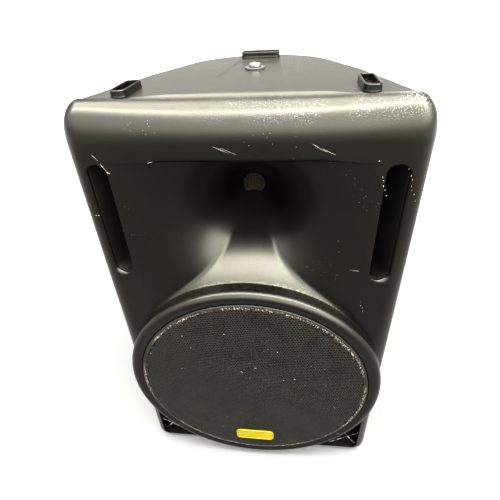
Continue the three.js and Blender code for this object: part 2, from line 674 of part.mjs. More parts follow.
// A hollow oval standing on the top, long from left to right unless it is turned.
function stackingRing(width) {
  const wall = 3;
  const base = REAR_TOP + GAP;
  const outline = (grow) => roundedShape(STACKING_LENGTH + grow, width + grow, 9 + grow / 2);
  return alongZ(ringShape(outline(0), outline(-2 * wall)), base, base + STACKING_HEIGHT, 3);
}

for (const [name, side] of sides) {
  const ring = stackingRing(20).rotateZ(Math.PI / 2).translate(side * 144, 64, 0);
  add(`stacking_ring_${name}`, ring, GLOSS_BLACK);
}
const REAR_RING_WIDTH = 28;
const REAR_RING_Y = CABINET_REAR - REAR_TOP_ROUND - 3 - REAR_RING_WIDTH / 2;
add('stacking_ring_rear', stackingRing(REAR_RING_WIDTH).translate(0, REAR_RING_Y, 0), GLOSS_BLACK);

// A threaded insert with a flange, and the bolt screwed into it.
const INSERT_FLANGE = REAR_TOP - 2 + GAP;
const INSERT_TOP = REAR_TOP + 1;
add('rigging_insert', turnedUpright([
  [5.2, REAR_TOP - 26], [8.7, REAR_TOP - 26], [8.7, INSERT_FLANGE],
  [15, INSERT_FLANGE], [15, INSERT_TOP], [5.2, INSERT_TOP],
], 0, RIGGING_Y), BLACK_STEEL);
const HEAD_BASE = INSERT_TOP + GAP;
add('rigging_bolt', turnedUpright([
  [0, REAR_TOP - 24], [4.9, REAR_TOP - 24], [4.9, HEAD_BASE], [8.5, HEAD_BASE],
  [8.5, HEAD_BASE + 3.7], [4, HEAD_BASE + 5.2], [0, HEAD_BASE + 5.2],
], 0, RIGGING_Y), BRIGHT_STEEL);

// ---------------------------------------------------------------- feet and pole socket underneath

const REAR_BOTTOM = CABINET_BOTTOM + SHELL_STEP;
const feet = [
  ['front_left', -140, 50], ['front_right', 140, 50],
  ['rear_left', -72, 288], ['rear_right', 72, 288],
];
for (const [place, x, y] of feet) {
  add(`foot_${place}`, turnedUpright(discProfile(13, 0, REAR_BOTTOM - GAP), x, y, 24), RUBBER);
}

add('pole_socket', turnedUpright([
  [17.8, 2], [44, 2], [44, REAR_BOTTOM - GAP], [23.4, REAR_BOTTOM - GAP],
  [23.4, 92], [0, 92], [0, 88], [17.8, 88],
], 0, POLE_SOCKET_Y), DARK_PLASTIC);

// ---------------------------------------------------------------- hand holds in the sides

for (const [name, side] of sides) {
  const wall = 3;
  const place = (shape) => solid(onSideWall(shape, side));
  const bezel = place(alongX(handleShape(7), -SHELL_STEP + GAP, 2.4));
  const cup = place(alongX(handleShape(0.4), -HANDLE_SINK, 1));
  const hollow = place(alongX(handleShape(0.4 - wall), -HANDLE_SINK + wall, 20));
  add(`handle_cup_${name}`, geometry(cut(join(bezel, cup), hollow)), DARK_PLASTIC);
}

// ---------------------------------------------------------------- amplifier panel

const PANEL_FRONT = AMP_FACE_Y + GAP; // things mounted on the outside start here
const PANEL_INSIDE = PLATE_Y - GAP;
const KNOB_Z = 398;
const SOCKET_Z = 345;
const BUTTON = { x: 62, z: SOCKET_Z, radius: 4 };
const SWITCH = { x: 55, z: 292, halfWidth: 10, halfHeight: 14 };
const INLET = { x: -30, z: 292 };
const TAB_RISE = 13; // the release tab sits this far above the microphone socket
const TAB_TRAVEL = 1.6;
const FUSE_WIDTH = 26;
const FUSE_Z = INLET.z - 21;
const BOARD_Y = 284;
const BOARD_THICKNESS = 1.6;

const sockets = [
  { name: 'mic_input_socket', x: -58, hole: 9.6 },
  { name: 'link_output_socket', x: -20, hole: 8.4 },
  { name: 'line_input_socket', x: 18, hole: 3.3 },
];
const knobs = [['level_knob', -58], ['bass_knob', -20], ['treble_knob', 18]];
const lamps = [['power_lamp', 50, LAMP_GREEN], ['clip_lamp', 70, LAMP_RED]];

function ampPanel() {
  const width = 2 * AMP_HALF_WIDTH;
  const height = AMP_TOP - AMP_BOTTOM;
  const plate = roundedShape(width, height, 6, 0, AMP_BOTTOM + height / 2);
  const post = discProfile(3.5, BOARD_Y + BOARD_THICKNESS + GAP, PLATE_Y + 1);
  const posts = [-62, 62].flatMap((x) => [125, 375].map((z) => solid(turned(post, x, z, 10))));
  const holeFor = (radius, x, z) =>
    solid(turned(discProfile(radius, PLATE_Y - 5, AMP_FACE_Y + 5), x, z, 16));
  const boxHole = (w, h, x, z) => solid(box(w, 20, h, x, AMP_FACE_Y, z));
  return cut(
    join(solid(alongY(plate, PLATE_Y, AMP_FACE_Y, 3)), ...posts),
    holeFor(BUTTON.radius + 0.6, BUTTON.x, BUTTON.z),
    boxHole(2 * SWITCH.halfWidth, 2 * SWITCH.halfHeight, SWITCH.x, SWITCH.z),
    boxHole(FUSE_WIDTH + 1, 11, INLET.x, FUSE_Z),
    ...sockets.map(({ x, hole }) => holeFor(hole + 1, x, SOCKET_Z)),
  );
}
add('amp_panel', geometry(ampPanel()), BLACK_STEEL);

function heatSink() {
  const fins = 9;
  const pitch = 17;
  const finThickness = 3.2;
  const base = 5;
  const depth = 27;
  const half = ((fins - 1) * pitch + finThickness) / 2;
  const shape = new THREE.Shape();
  shape.moveTo(-half, PANEL_FRONT);
  shape.lineTo(half, PANEL_FRONT);
  for (let i = fins - 1; i >= 0; i -= 1) {
    const right = -half + i * pitch + finThickness;
    const left = right - finThickness;
    const tip = PANEL_FRONT + depth;
    const root = PANEL_FRONT + base;
    if (i < fins - 1) shape.lineTo(right, root);
    shape.lineTo(right, tip);
    shape.lineTo(left, tip);
    if (i > 0) shape.lineTo(left, root);
  }
  return alongZ(shape, 108, 248);
}
add('heat_sink', heatSink(), ALUMINIUM);

// A control knob with a flat pointer rib, on an axis along Y.
function knob(x) {
  const body = solid(turned([
    [0, PANEL_FRONT], [10, PANEL_FRONT], [10, PANEL_FRONT + 3], [8, PANEL_FRONT + 4],
    [7.4, PANEL_FRONT + 13], [0, PANEL_FRONT + 14],
  ], x, KNOB_Z, 18));
  const pointer = solid(box(1.6, 10, 6, x, PANEL_FRONT + 9.5, KNOB_Z + 6));
  return geometry(join(body, pointer));
}
for (const [name, x] of knobs) add(name, knob(x), DARK_PLASTIC);
for (const [name, x, material] of lamps) {
  add(name, turned([
    [0, PANEL_FRONT], [3, PANEL_FRONT], [3, PANEL_FRONT + 1.5],
    [1.8, PANEL_FRONT + 3], [0, PANEL_FRONT + 3.4],
  ], x, KNOB_Z, 12), material);
}

// A panel socket: a square flange with a round well. The output socket has pins in
// its well, and the microphone socket a slot for the tab that lets the plug go.
function socket({ x, hole, name }) {
  const disc = (radius, from, to) =>
    solid(turned(discProfile(radius, PANEL_FRONT + from, PANEL_FRONT + to), x, SOCKET_Z, 14));
  const outline = roundedShape(26, 31, 3, x, SOCKET_Z);
  const flange = solid(alongY(outline, PANEL_FRONT, PANEL_FRONT + 2.2, 3));
  const collar = disc(hole + 2.2, 0, 4);
  const barrel = disc(hole + 0.7, -9, 1);
  const well = disc(hole, -7.5, 9);
  const body = cut(join(flange, collar, barrel), well);
  if (name === 'link_output_socket') {
    const pinProfile = discProfile(1.1, PANEL_FRONT - 8, PANEL_FRONT + 1);
    const pins = [0, 1, 2].map((i) => {
      const angle = (i * 2 * Math.PI) / 3;
      return solid(turned(pinProfile, x + 4.4 * Math.sin(angle), SOCKET_Z + 4.4 * Math.cos(angle), 8));
    });
    return geometry(join(body, ...pins));
  }
  if (name === 'mic_input_socket') {
    return geometry(cut(body, solid(box(7, 20, 3.6, x, PANEL_FRONT, SOCKET_Z + TAB_RISE))));
  }
  return geometry(body);
}
for (const entry of sockets) add(entry.name, socket(entry), GLOSS_BLACK);

const releaseTab = box(6.2, 3.4, 2.8, sockets[0].x, PANEL_FRONT + TAB_TRAVEL + 2.2, SOCKET_Z + TAB_RISE);
add('socket_release_tab', releaseTab, BRIGHT_STEEL);

const buttonProfile = discProfile(BUTTON.radius, PLATE_Y - 4, AMP_FACE_Y + 6);
add('low_cut_button', turned(buttonProfile, BUTTON.x, BUTTON.z, 16), GLOSS_BLACK);

// The rocker turns on an X axis level with the inner face of the panel.
const ROCKER_TILT = THREE.MathUtils.degToRad(9);
function rocker() {
  const end = SWITCH.halfHeight - 1.6;
  const shape = new THREE.Shape([
    new THREE.Vector2(-1, -end), new THREE.Vector2(5.5, -end), new THREE.Vector2(4, 0),
    new THREE.Vector2(5.5, end), new THREE.Vector2(-1, end),
  ]);
  return alongX(shape, -SWITCH.halfWidth + 0.6, SWITCH.halfWidth - 0.6)
    .rotateX(-ROCKER_TILT)
    .translate(SWITCH.x, PLATE_Y, SWITCH.z);
}
add('power_switch_bezel', alongY(ringShape(
  roundedShape(2 * SWITCH.halfWidth + 7, 2 * SWITCH.halfHeight + 7, 2.5, SWITCH.x, SWITCH.z),
  roundedShape(2 * SWITCH.halfWidth, 2 * SWITCH.halfHeight, 0.5, SWITCH.x, SWITCH.z),
), PANEL_FRONT, PANEL_FRONT + 2.2, 3), GLOSS_BLACK);
add('power_switch', rocker(), GLOSS_BLACK);

function mainsInlet() {
  const outline = roundedShape(50, 32, 3, INLET.x, INLET.z);
  const opening = roundedShape(24, 17, 4, INLET.x, INLET.z + 2);
  const body = solid(alongY(outline, PANEL_FRONT, PANEL_FRONT + 4, 3));
  const well = solid(alongY(opening, PANEL_FRONT + 1.2, PANEL_FRONT + 20, 3));
  const pins = [[-6.5, 1], [6.5, 1], [0, 5]].map(([dx, dz]) =>
    solid(box(2, 2.6, 4.4, INLET.x + dx, PANEL_FRONT + 2.1, INLET.z + dz)));
  return geometry(join(cut(body, well), ...pins));
}
add('mains_inlet', mainsInlet(), DARK_PLASTIC);

add('fuse_drawer', box(FUSE_WIDTH, 13, 9, INLET.x, AMP_FACE_Y - 3, FUSE_Z), DARK_PLASTIC);

// ---------------------------------------------------------------- electronics behind the panel

const board = box(140, BOARD_THICKNESS, 270, 0, BOARD_Y + BOARD_THICKNESS / 2, 250);
const transformer = turned(ringProfile(10, 38, BOARD_Y - 40, BOARD_Y - GAP), -22, 175);
const capacitor = turned(discProfile(16, BOARD_Y - 46, BOARD_Y - GAP), 45, 175, 16);
add('amp_board', board, BOARD_GREEN);
add('mains_transformer', transformer, BOARD_TAPE);
add('filter_capacitor', capacitor, GLOSS_BLACK);

function lead(points, material, name) {
  const path = new THREE.CatmullRomCurve3(points.map((p) => new THREE.Vector3(...p)));
  const section = new THREE.Shape().absarc(0, 0, 2.2, 0, 2 * Math.PI);
  add(name, new THREE.ExtrudeGeometry(section, {
    extrudePath: path, steps: 16, bevelEnabled: false, curveSegments: 2,
  }), material);
}
lead([
  [40, 281, 300], [46, 245, 322], [56, 185, 350], [60, 125, 352], [56, 74, 331],
], LEAD_RED, 'woofer_lead');
lead([
  [0, 281, 360], [0, 268, 390], [2, 248, 440], [2, 232, 495], [0, DRIVER_Y + 64, THROAT_Z],
], LEAD_RED, 'hf_lead');

const screwHeights = [AMP_BOTTOM + 6, 262, AMP_TOP - 6];
const screwPlaces = [-1, 1].flatMap((side) => screwHeights.map((z) => [side * (AMP_HALF_WIDTH - 6), z]));
screwPlaces.forEach(([x, z], i) => {
  add(`panel_screw_${i + 1}`, turned([
    [0, PANEL_FRONT], [4, PANEL_FRONT], [3.4, PANEL_FRONT + 1.8],
    [1.6, PANEL_FRONT + 2.5], [0, PANEL_FRONT + 2.5],
  ], x, z, 10), BRIGHT_STEEL);
});

// ---------------------------------------------------------------- origin under the middle

const bounds = new THREE.Box3().setFromObject(speaker);
speaker.position.y = -(bounds.min.y + bounds.max.y) / 2;

export default speaker;
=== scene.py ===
import json
import math
import random

import bmesh
import bpy
from mathutils import Matrix, Vector


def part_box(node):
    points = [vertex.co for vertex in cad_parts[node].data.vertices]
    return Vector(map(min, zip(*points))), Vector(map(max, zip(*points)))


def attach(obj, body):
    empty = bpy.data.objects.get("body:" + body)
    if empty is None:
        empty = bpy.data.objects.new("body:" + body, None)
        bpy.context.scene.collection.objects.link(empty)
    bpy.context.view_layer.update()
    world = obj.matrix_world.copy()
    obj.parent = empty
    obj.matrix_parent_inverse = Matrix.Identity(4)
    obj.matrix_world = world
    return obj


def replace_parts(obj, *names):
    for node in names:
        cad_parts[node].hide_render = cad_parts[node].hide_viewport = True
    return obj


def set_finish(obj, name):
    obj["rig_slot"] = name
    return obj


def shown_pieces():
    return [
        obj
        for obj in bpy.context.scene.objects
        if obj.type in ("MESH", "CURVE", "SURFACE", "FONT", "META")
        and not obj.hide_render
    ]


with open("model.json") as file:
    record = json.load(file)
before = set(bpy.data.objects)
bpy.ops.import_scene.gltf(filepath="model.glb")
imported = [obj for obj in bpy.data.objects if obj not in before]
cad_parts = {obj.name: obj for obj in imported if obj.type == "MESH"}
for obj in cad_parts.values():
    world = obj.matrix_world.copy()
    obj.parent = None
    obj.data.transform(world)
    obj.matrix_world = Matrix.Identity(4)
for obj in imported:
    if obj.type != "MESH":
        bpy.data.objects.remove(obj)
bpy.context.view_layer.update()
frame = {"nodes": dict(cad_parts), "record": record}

# Everything below is worked out in millimetres in cabinet coordinates: x to the
# right, depth behind the flat front, z up. to_scene() turns that into the frame.
MM = 0.001
CABINET = "cabinet"


# ---------------------------------------------------------------- measures from the frame

def extent(node):
    """The lowest and the highest corner of a CAD node, in millimetres of the scene."""
    low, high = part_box(node)
    return Vector(low) / MM, Vector(high) / MM


def middle(node):
    """The middle of a CAD node: x, depth and z."""
    low, high = extent(node)
    x, y, z = ((a + b) / 2 for a, b in zip(low, high))
    return x, y - FACE_Y, z


# The frame gives where the nodes are and how big. Sizes that it does not give, such as
# radii and wall thicknesses, repeat the CAD's or belong to the visual model alone.
RANDOM = random.Random(7)
GAP = 0.3
RING_PROUD = 24
WALL = 4.5
SHELL_STEP = 1.6

front_low, front_high = extent("front_shell")
rear_high = extent("rear_shell")[1]
FACE_Y = front_low.y + RING_PROUD

HALF_WIDTH = 216
TOP = front_high.z
BOTTOM = front_low.z
REAR = rear_high.y - FACE_Y + SHELL_STEP
CORNER_RADIUS = 28
SIDE_TAPER = 0.44
FRONT_TOP_ROUND = 46
REAR_TOP_ROUND = 9
BOTTOM_ROUND = 14
SEAM_DEPTH = 47
SEAM_BOW = 0.0011
SEAM_STRAIGHT = 130

GRILLE_PLAY = 0.8
grille_low, grille_high = extent("woofer_grille")
WOOFER_Z = (grille_low.z + grille_high.z) / 2
GRILLE_RADIUS = (grille_high.x - grille_low.x) / 2
GRILLE_DOME = -RING_PROUD - (grille_low.y - FACE_Y)
RING_OPENING = GRILLE_RADIUS + GRILLE_PLAY
RING_RADIUS = 210
RING_CREST = 11
BAFFLE_OPENING = 176
ROUND_STEPS = 192

THROAT_Z = middle("hf_driver_flange")[2]
THROAT_RADIUS = 12.7
HORN_DEPTH = extent("throat_screen")[0].y - FACE_Y
HORN_FLARE = 54
HORN_CURVE = 1.3
HORN_HALF_WIDTH = 160
HORN_DISH = 5
HORN_LIP_Z = 615
LIP_RADIUS = 9
CREASE_ROUNDING = 0.8  # softens the line where the ramp meets the horn
RAMP_LENGTH = 81
RAMP_SLOPE = 1.2

duct_low, duct_high = extent("port_duct_right")
PORT_WALL = 3
PORT_WIDTH = 26
PORT_X = duct_high.x - PORT_WALL - PORT_WIDTH / 2
PORT_BOTTOM = duct_low.z + PORT_WALL
PORT_TOP = duct_high.z - PORT_WALL

panel_low, panel_high = extent("amp_panel")
AMP_FACE = panel_high.y - FACE_Y
AMP_HALF_WIDTH = panel_high.x
AMP_BOTTOM = panel_low.z
AMP_TOP = panel_high.z
AMP_THICKNESS = 3
BAY_FRAME = 7  # how far the frame round the panel's bay reaches past the panel
BAY_PLAY = 2  # free space round the panel in its bay
PANEL_LEDGE = 10  # how far the panel's edge overlaps what it rests on

RIGGING_DEPTH = middle("rigging_insert")[1]
POLE_DEPTH = middle("pole_socket")[1]

HANDLE_DEPTH = 150
HANDLE_Z = middle("handle_cup_right")[2]
HANDLE_LENGTH = 140
HANDLE_HEIGHT = 64
HANDLE_SINK = 46

POCKET_RADIUS = RING_RADIUS + 3
POCKET_OUTER_X = 198
POCKET_BOTTOM = 15
POCKET_TOP = 145
POCKET_INNER_X = 92
POCKET_DEPTH = 46
POCKET_CORNER = 14
POCKET_WALL = 3.5
RIB = 3
RIB_SINK = 8  # the ribs stand back from the face by this much

normal_length = math.hypot(1, SIDE_TAPER)
SIDE_NORMAL = (1 / normal_length, SIDE_TAPER / normal_length)
SIDE_START = HALF_WIDTH + CORNER_RADIUS * ((1 + SIDE_NORMAL[1]) / SIDE_NORMAL[0] - 1)
CORNER_X = HALF_WIDTH - CORNER_RADIUS
BACK_RADIUS = (SIDE_START - SIDE_TAPER * REAR) / (
    SIDE_NORMAL[0] + SIDE_TAPER * SIDE_NORMAL[1] - SIDE_TAPER
)
BACK_CENTRE = REAR - BACK_RADIUS


def side_x(depth):
    """Half the width at a depth where the sides run straight."""
    return SIDE_START - SIDE_TAPER * depth


# ---------------------------------------------------------------- mesh helpers

def to_scene(point):
    x, depth, z = point
    return (x * MM, (depth + FACE_Y) * MM, z * MM)


def add_object(name, data):
    obj = bpy.data.objects.new(name, data)
    bpy.context.scene.collection.objects.link(obj)
    return obj


def new_object(name, points, faces):
    mesh = bpy.data.meshes.new(name)
    mesh.from_pydata([to_scene(p) for p in points], [], faces)
    mesh.validate()
    return add_object(name, mesh)


def outward(obj, closed=True):
    """Makes faces agree about their outside, and point outwards on a closed mesh."""
    work = bmesh.new()
    work.from_mesh(obj.data)
    bmesh.ops.recalc_face_normals(work, faces=work.faces)
    if closed and work.calc_volume(signed=True) < 0:
        bmesh.ops.reverse_faces(work, faces=work.faces)
    work.to_mesh(obj.data)
    work.free()
    return obj


def loft(name, loops, ring=False):
    """A closed skin through loops of equally many points. A ring joins its last
    loop to its first; anything else is capped at both ends."""
    count = len(loops[0])
    points = [p for loop in loops for p in loop]
    faces = []
    pairs = len(loops) if ring else len(loops) - 1
    for j in range(pairs):
        here, there = j * count, ((j + 1) % len(loops)) * count
        for i in range(count):
            k = (i + 1) % count
            faces.append((here + i, here + k, there + k, there + i))
    if not ring:
        faces.append(tuple(range(count)))
        faces.append(tuple(len(points) - 1 - i for i in range(count)))
    return outward(new_object(name, points, faces))


def bake_modifiers(obj):
    """Replaces the mesh by what its modifiers make of it."""
    graph = bpy.context.evaluated_depsgraph_get()
    baked = bpy.data.meshes.new_from_object(obj.evaluated_get(graph))
    old = obj.data
    obj.modifiers.clear()
    obj.data = baked
    bpy.data.meshes.remove(old)


def combine(target, tools, operation):
    """A boolean of the target with each tool. The tools are used up."""
    for tool in tools:
        modifier = target.modifiers.new("combine", "BOOLEAN")
        modifier.operation = operation
        modifier.solver = "MANIFOLD"
        modifier.object = tool
    bpy.context.view_layer.update()
    bake_modifiers(target)
    for tool in tools:
        bpy.data.objects.remove(tool)
    return target


def join(target, *tools):
    return combine(target, tools, "UNION")


def cut(target, *tools):
    return combine(target, tools, "DIFFERENCE")


def keep_inside(target, tool):
    return combine(target, [tool], "INTERSECT")


SHARP_EDGE = math.radians(32)


def shade(obj):
    """Smooth shading that breaks at sharp edges."""
    work = bmesh.new()
    work.from_mesh(obj.data)
    bmesh.ops.dissolve_degenerate(work, dist=1e-6, edges=work.edges)
    for edge in work.edges:
        edge.smooth = len(edge.link_faces) == 2 and edge.calc_face_angle(0) < SHARP_EDGE
    for face in work.faces:
        face.smooth = True
    work.to_mesh(obj.data)
    work.free()
    weighted = obj.modifiers.new("weighted normals", "WEIGHTED_NORMAL")
    weighted.keep_sharp = True
    return obj


def outline(width, height, radius, grow=0.0, corner_steps=8):
    """A rectangle with round corners as (across, up) pairs, grown all round."""
    radius_here = max(radius + grow, 0.05)
    dx, dy = width / 2 - radius, height / 2 - radius
    pairs = []
    for k, (sx, sy) in enumerate([(1, -1), (1, 1), (-1, 1), (-1, -1)]):
        for i in range(corner_steps + 1):
            angle = math.pi / 2 * (k - 1 + i / corner_steps)
            pairs.append((
                sx * dx + radius_here * math.cos(angle),
                sy * dy + radius_here * math.sin(angle),
            ))
    return pairs


def circle(radius, steps=48):
    """A circle as (across, up) pairs."""
    return [
        (radius * math.cos(2 * math.pi * i / steps), radius * math.sin(2 * math.pi * i / steps))
        for i in range(steps)
    ]


class Place:
    """A spot with an across, an up and an out direction, in cabinet coordinates."""

    def __init__(self, origin, across, up, out):
        self.origin = Vector(origin)
        self.across = Vector(across)
        self.up = Vector(up)
        self.out = Vector(out)

    def __call__(self, pairs, height):
        return [
            tuple(self.origin + self.across * u + self.up * v + self.out * height)
            for u, v in pairs
        ]


def facing_front(x, z, depth=0.0):
    return Place((x, depth, z), (1, 0, 0), (0, 0, 1), (0, -1, 0))


def facing_back(x, z, depth):
    return Place((x, depth, z), (-1, 0, 0), (0, 0, 1), (0, 1, 0))


def facing_up(x, depth, z):
    return Place((x, depth, z), (1, 0, 0), (0, 1, 0), (0, 0, 1))


def facing_down(x, depth, z):
    return Place((x, depth, z), (-1, 0, 0), (0, 1, 0), (0, 0, -1))


def turned(name, place, profile, steps=64):
    """A profile of (radius, height) pairs turned about the place's out direction."""
    loops = [place(circle(max(radius, 0.02), steps), height) for radius, height in profile]
    return loft(name, loops)


def turned_ring(name, place, profile, steps=64):
    """The same with a closed profile and an open middle."""
    loops = [place(circle(radius, steps), height) for radius, height in profile]
    return loft(name, loops, ring=True)


def rounded_loops(place, width, height, radius, levels, corner_steps=8):
    """Loops of a rounded rectangle, each with its growth all round and its height."""
    return [place(outline(width, height, radius, grow, corner_steps), h) for grow, h in levels]


def arc(centre, radius, start, end, steps):
    """Points on an arc in a profile, by angle in degrees."""
    angles = [math.radians(start + (end - start) * i / steps) for i in range(steps + 1)]
    return [(centre[0] + radius * math.cos(a), centre[1] + radius * math.sin(a)) for a in angles]


def own(obj, slot, *nodes, body=CABINET):
    """Hands a finished piece over: what it rides on, what it stands for, its slot."""
    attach(obj, body)
    if nodes:
        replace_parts(obj, *nodes)
    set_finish(obj, slot)
    return obj


# ---------------------------------------------------------------- cabinet skins

def plan():
    """Points round the cabinet seen from above: x, depth, normal, and the height and
    the width across of the top edge's rounding."""
    side_angle = math.atan2(SIDE_NORMAL[1], SIDE_NORMAL[0])
    half = []
    front_steps = 16
    for i in range(front_steps):
        narrowing = (FRONT_TOP_ROUND - CORNER_RADIUS) * (i / front_steps) ** 2
        x = CORNER_X * i / front_steps
        half.append((x, 0, 0, -1, FRONT_TOP_ROUND, FRONT_TOP_ROUND - narrowing))
    corner_steps = 16
    for i in range(corner_steps + 1):
        angle = -math.pi / 2 + (side_angle + math.pi / 2) * i / corner_steps
        nx, ny = math.cos(angle), math.sin(angle)
        x, depth = CORNER_X + CORNER_RADIUS * nx, CORNER_RADIUS * (1 + ny)
        half.append((x, depth, nx, ny, FRONT_TOP_ROUND, CORNER_RADIUS))
    side_from = CORNER_RADIUS * (1 + SIDE_NORMAL[1])
    side_to = BACK_CENTRE + BACK_RADIUS * SIDE_NORMAL[1]
    side_steps = 15
    for i in range(1, side_steps):
        depth = side_from + (side_to - side_from) * i / side_steps
        fade = min(1, i / 9)
        rise = FRONT_TOP_ROUND + (REAR_TOP_ROUND - FRONT_TOP_ROUND) * fade
        run = CORNER_RADIUS + (REAR_TOP_ROUND - CORNER_RADIUS) * fade
        half.append((side_x(depth), depth, *SIDE_NORMAL, rise, run))
    back_steps = 24
    for i in range(back_steps):
        angle = side_angle + (math.pi / 2 - side_angle) * i / back_steps
        nx, ny = math.cos(angle), math.sin(angle)
        x, depth = BACK_RADIUS * nx, BACK_CENTRE + BACK_RADIUS * ny
        half.append((x, depth, nx, ny, REAR_TOP_ROUND, REAR_TOP_ROUND))
    back = [(0, REAR, 0, 1, REAR_TOP_ROUND, REAR_TOP_ROUND)]
    mirrored = [(-x, y, -nx, ny, rise, run) for x, y, nx, ny, rise, run in reversed(half[1:])]
    return half + back + mirrored


CABINET_PLAN = plan()


def cabinet_solid(name, inset):
    """The cabinet as a closed solid, smaller all round by inset."""
    bottom, top = BOTTOM + inset, TOP - inset
    bottom_steps, top_steps = 6, 12
    loops = []
    for i in range(bottom_steps + 1):
        angle = math.pi / 2 * i / bottom_steps
        radius = BOTTOM_ROUND - inset
        sink = inset + radius * (1 - math.sin(angle))
        z = bottom + radius * (1 - math.cos(angle))
        loops.append([(x - nx * sink, y - ny * sink, z) for x, y, nx, ny, *_ in CABINET_PLAN])
    for i in range(top_steps + 1):
        angle = math.pi / 2 * i / top_steps
        loop = []
        for x, y, nx, ny, rise, run in CABINET_PLAN:
            sink = inset + max(run - inset, 2) * (1 - math.cos(angle))
            height = top - max(rise - inset, 2) * (1 - math.sin(angle))
            loop.append((x - nx * sink, y - ny * sink, height))
        loops.append(loop)
    return loft(name, loops)


def seam_region(name, front, offset):
    """Everything in front of, or behind, the bowed seam between the shells."""
    reach = 2 * HALF_WIDTH
    far = -reach if front else 2 * reach
    steps = 40
    pairs = [(-reach / 1.5, far), (reach / 1.5, far)]
    for i in range(steps, -steps - 1, -1):
        x = reach / 1.9 * i / steps
        bent = min(abs(x), SEAM_STRAIGHT)
        pairs.append((x, SEAM_DEPTH - SEAM_BOW * bent * bent + offset))
    return loft(name, [[(x, y, z) for x, y in pairs] for z in (-20, TOP + 60)])


# ---------------------------------------------------------------- horn

def smooth_min(a, b, rounding):
    """The smaller of two values, with a soft change from one to the other."""
    return -rounding * math.log(math.exp(-a / rounding) + math.exp(-b / rounding))


def horn_depth(x, z):
    """Depth of the flared horn and of the ramp that meets it, with a soft crease."""
    from_throat = max(0, math.hypot(x, z - THROAT_Z) - THROAT_RADIUS)
    across = min(1, abs(x) / HORN_HALF_WIDTH)
    bowl = HORN_DEPTH * math.exp(-((from_throat / HORN_FLARE) ** HORN_CURVE)) * (1 - across ** 4)
    bowl += HORN_DISH * (1 - across ** 2)
    from_ring = math.hypot(x, z - WOOFER_Z) - RING_RADIUS
    climb = max(0, from_ring / RAMP_LENGTH)
    ramp = RAMP_SLOPE * from_ring + (HORN_DEPTH - RAMP_SLOPE * RAMP_LENGTH) * climb ** 2
    return min(smooth_min(bowl, ramp, CREASE_ROUNDING), HORN_DEPTH)


def closer_to_middle(t):
    """Spaces steps from -1 to 1 so that they are closest together round 0."""
    return math.copysign(0.3 * abs(t) + 0.7 * abs(t) ** 2.2, t)


def horn_rows():
    """Heights of the grid's rows, closest together at the throat."""
    low = WOOFER_Z + RING_RADIUS * 0.6
    below, above = 84, 46
    places = [(THROAT_Z - low) * closer_to_middle(-1 + i / below) for i in range(below)]
    places += [(HORN_LIP_Z - THROAT_Z) * closer_to_middle(i / above) for i in range(above + 1)]
    return [THROAT_Z + place for place in places]


def horn_block(name, face, offset, lip_radius=0):
    """A block whose rear face is the horn's surface moved back by offset. Either its
    top is raised by the offset too, or it opens out to round over the mouth's lip."""
    columns = 141
    lip_steps = 8
    heights = horn_rows()
    grid = []
    for z in heights:
        row = []
        for i in range(columns):
            x = HORN_HALF_WIDTH * closer_to_middle(2 * i / (columns - 1) - 1)
            row.append((x, max(face + 1, horn_depth(x, z) + offset), z))
        grid.append(row)
    if not lip_radius:
        grid.append([(x, depth, z + offset) for x, depth, z in grid[-1]])
    for k in range(lip_steps + 1 if lip_radius else 0):
        angle = math.pi / 2 * (1 - k / lip_steps)
        row = []
        for x, depth, z in grid[len(heights) - 1]:
            radius = max(0.1, min(lip_radius, 0.8 * depth))
            rise = radius * (1 - math.sin(angle))
            sink = radius * (1 - math.cos(angle)) - GAP
            row.append((x, max(face + 1, sink), z + 0.02 + rise))
        grid.append(row)
    count = len(grid)
    points = [p for row in grid for p in row]
    points += [(x, face, z) for row in grid for x, _, z in row]
    half = count * columns
    faces = []
    for j in range(count - 1):
        for i in range(columns - 1):
            a = j * columns + i
            faces.append((a, a + 1, a + columns + 1, a + columns))
            faces.append((half + a, half + a + columns, half + a + columns + 1, half + a + 1))
    rim = list(range(columns))
    rim += [j * columns + columns - 1 for j in range(1, count)]
    rim += [(count - 1) * columns + i for i in range(columns - 2, -1, -1)]
    rim += [j * columns for j in range(count - 2, 0, -1)]
    for a, b in zip(rim, rim[1:] + rim[:1]):
        faces.append((a, half + a, half + b, b))
    return outward(new_object(name, points, faces))


# ---------------------------------------------------------------- front shell details

def slot_cutter(name, side):
    """The air of one port slot. Its edge is rounded most on the outside and below."""
    height = PORT_TOP - PORT_BOTTOM
    softest = Vector((side * 0.85, -0.53))
    least, extra = 1.0, 6.0
    middle_z = (PORT_TOP + PORT_BOTTOM) / 2
    base = outline(PORT_WIDTH, height, PORT_WIDTH / 2, corner_steps=14)
    grown = outline(PORT_WIDTH, height, PORT_WIDTH / 2, grow=1, corner_steps=14)
    steps = 7
    first_turn = 0.12

    def loop(turn, depth_extra=0.0):
        points = []
        for (u, v), (u1, v1) in zip(base, grown):
            normal = Vector((u1 - u, v1 - v))
            radius = least + extra * max(0, normal.dot(softest)) ** 1.5
            rise = radius * (1 - math.sin(turn))
            depth = radius * (1 - math.cos(turn)) + depth_extra
            x = side * PORT_X + u + normal.x * rise
            points.append((x, depth, middle_z + v + normal.y * rise))
        return points

    loops = [loop(first_turn, -20)]
    for i in range(steps + 1):
        loops.append(loop(first_turn + (math.pi / 2 - first_turn) * i / steps))
    loops.append([(x, WALL + 10, z) for x, _, z in loops[-1]])
    return loft(name, loops)


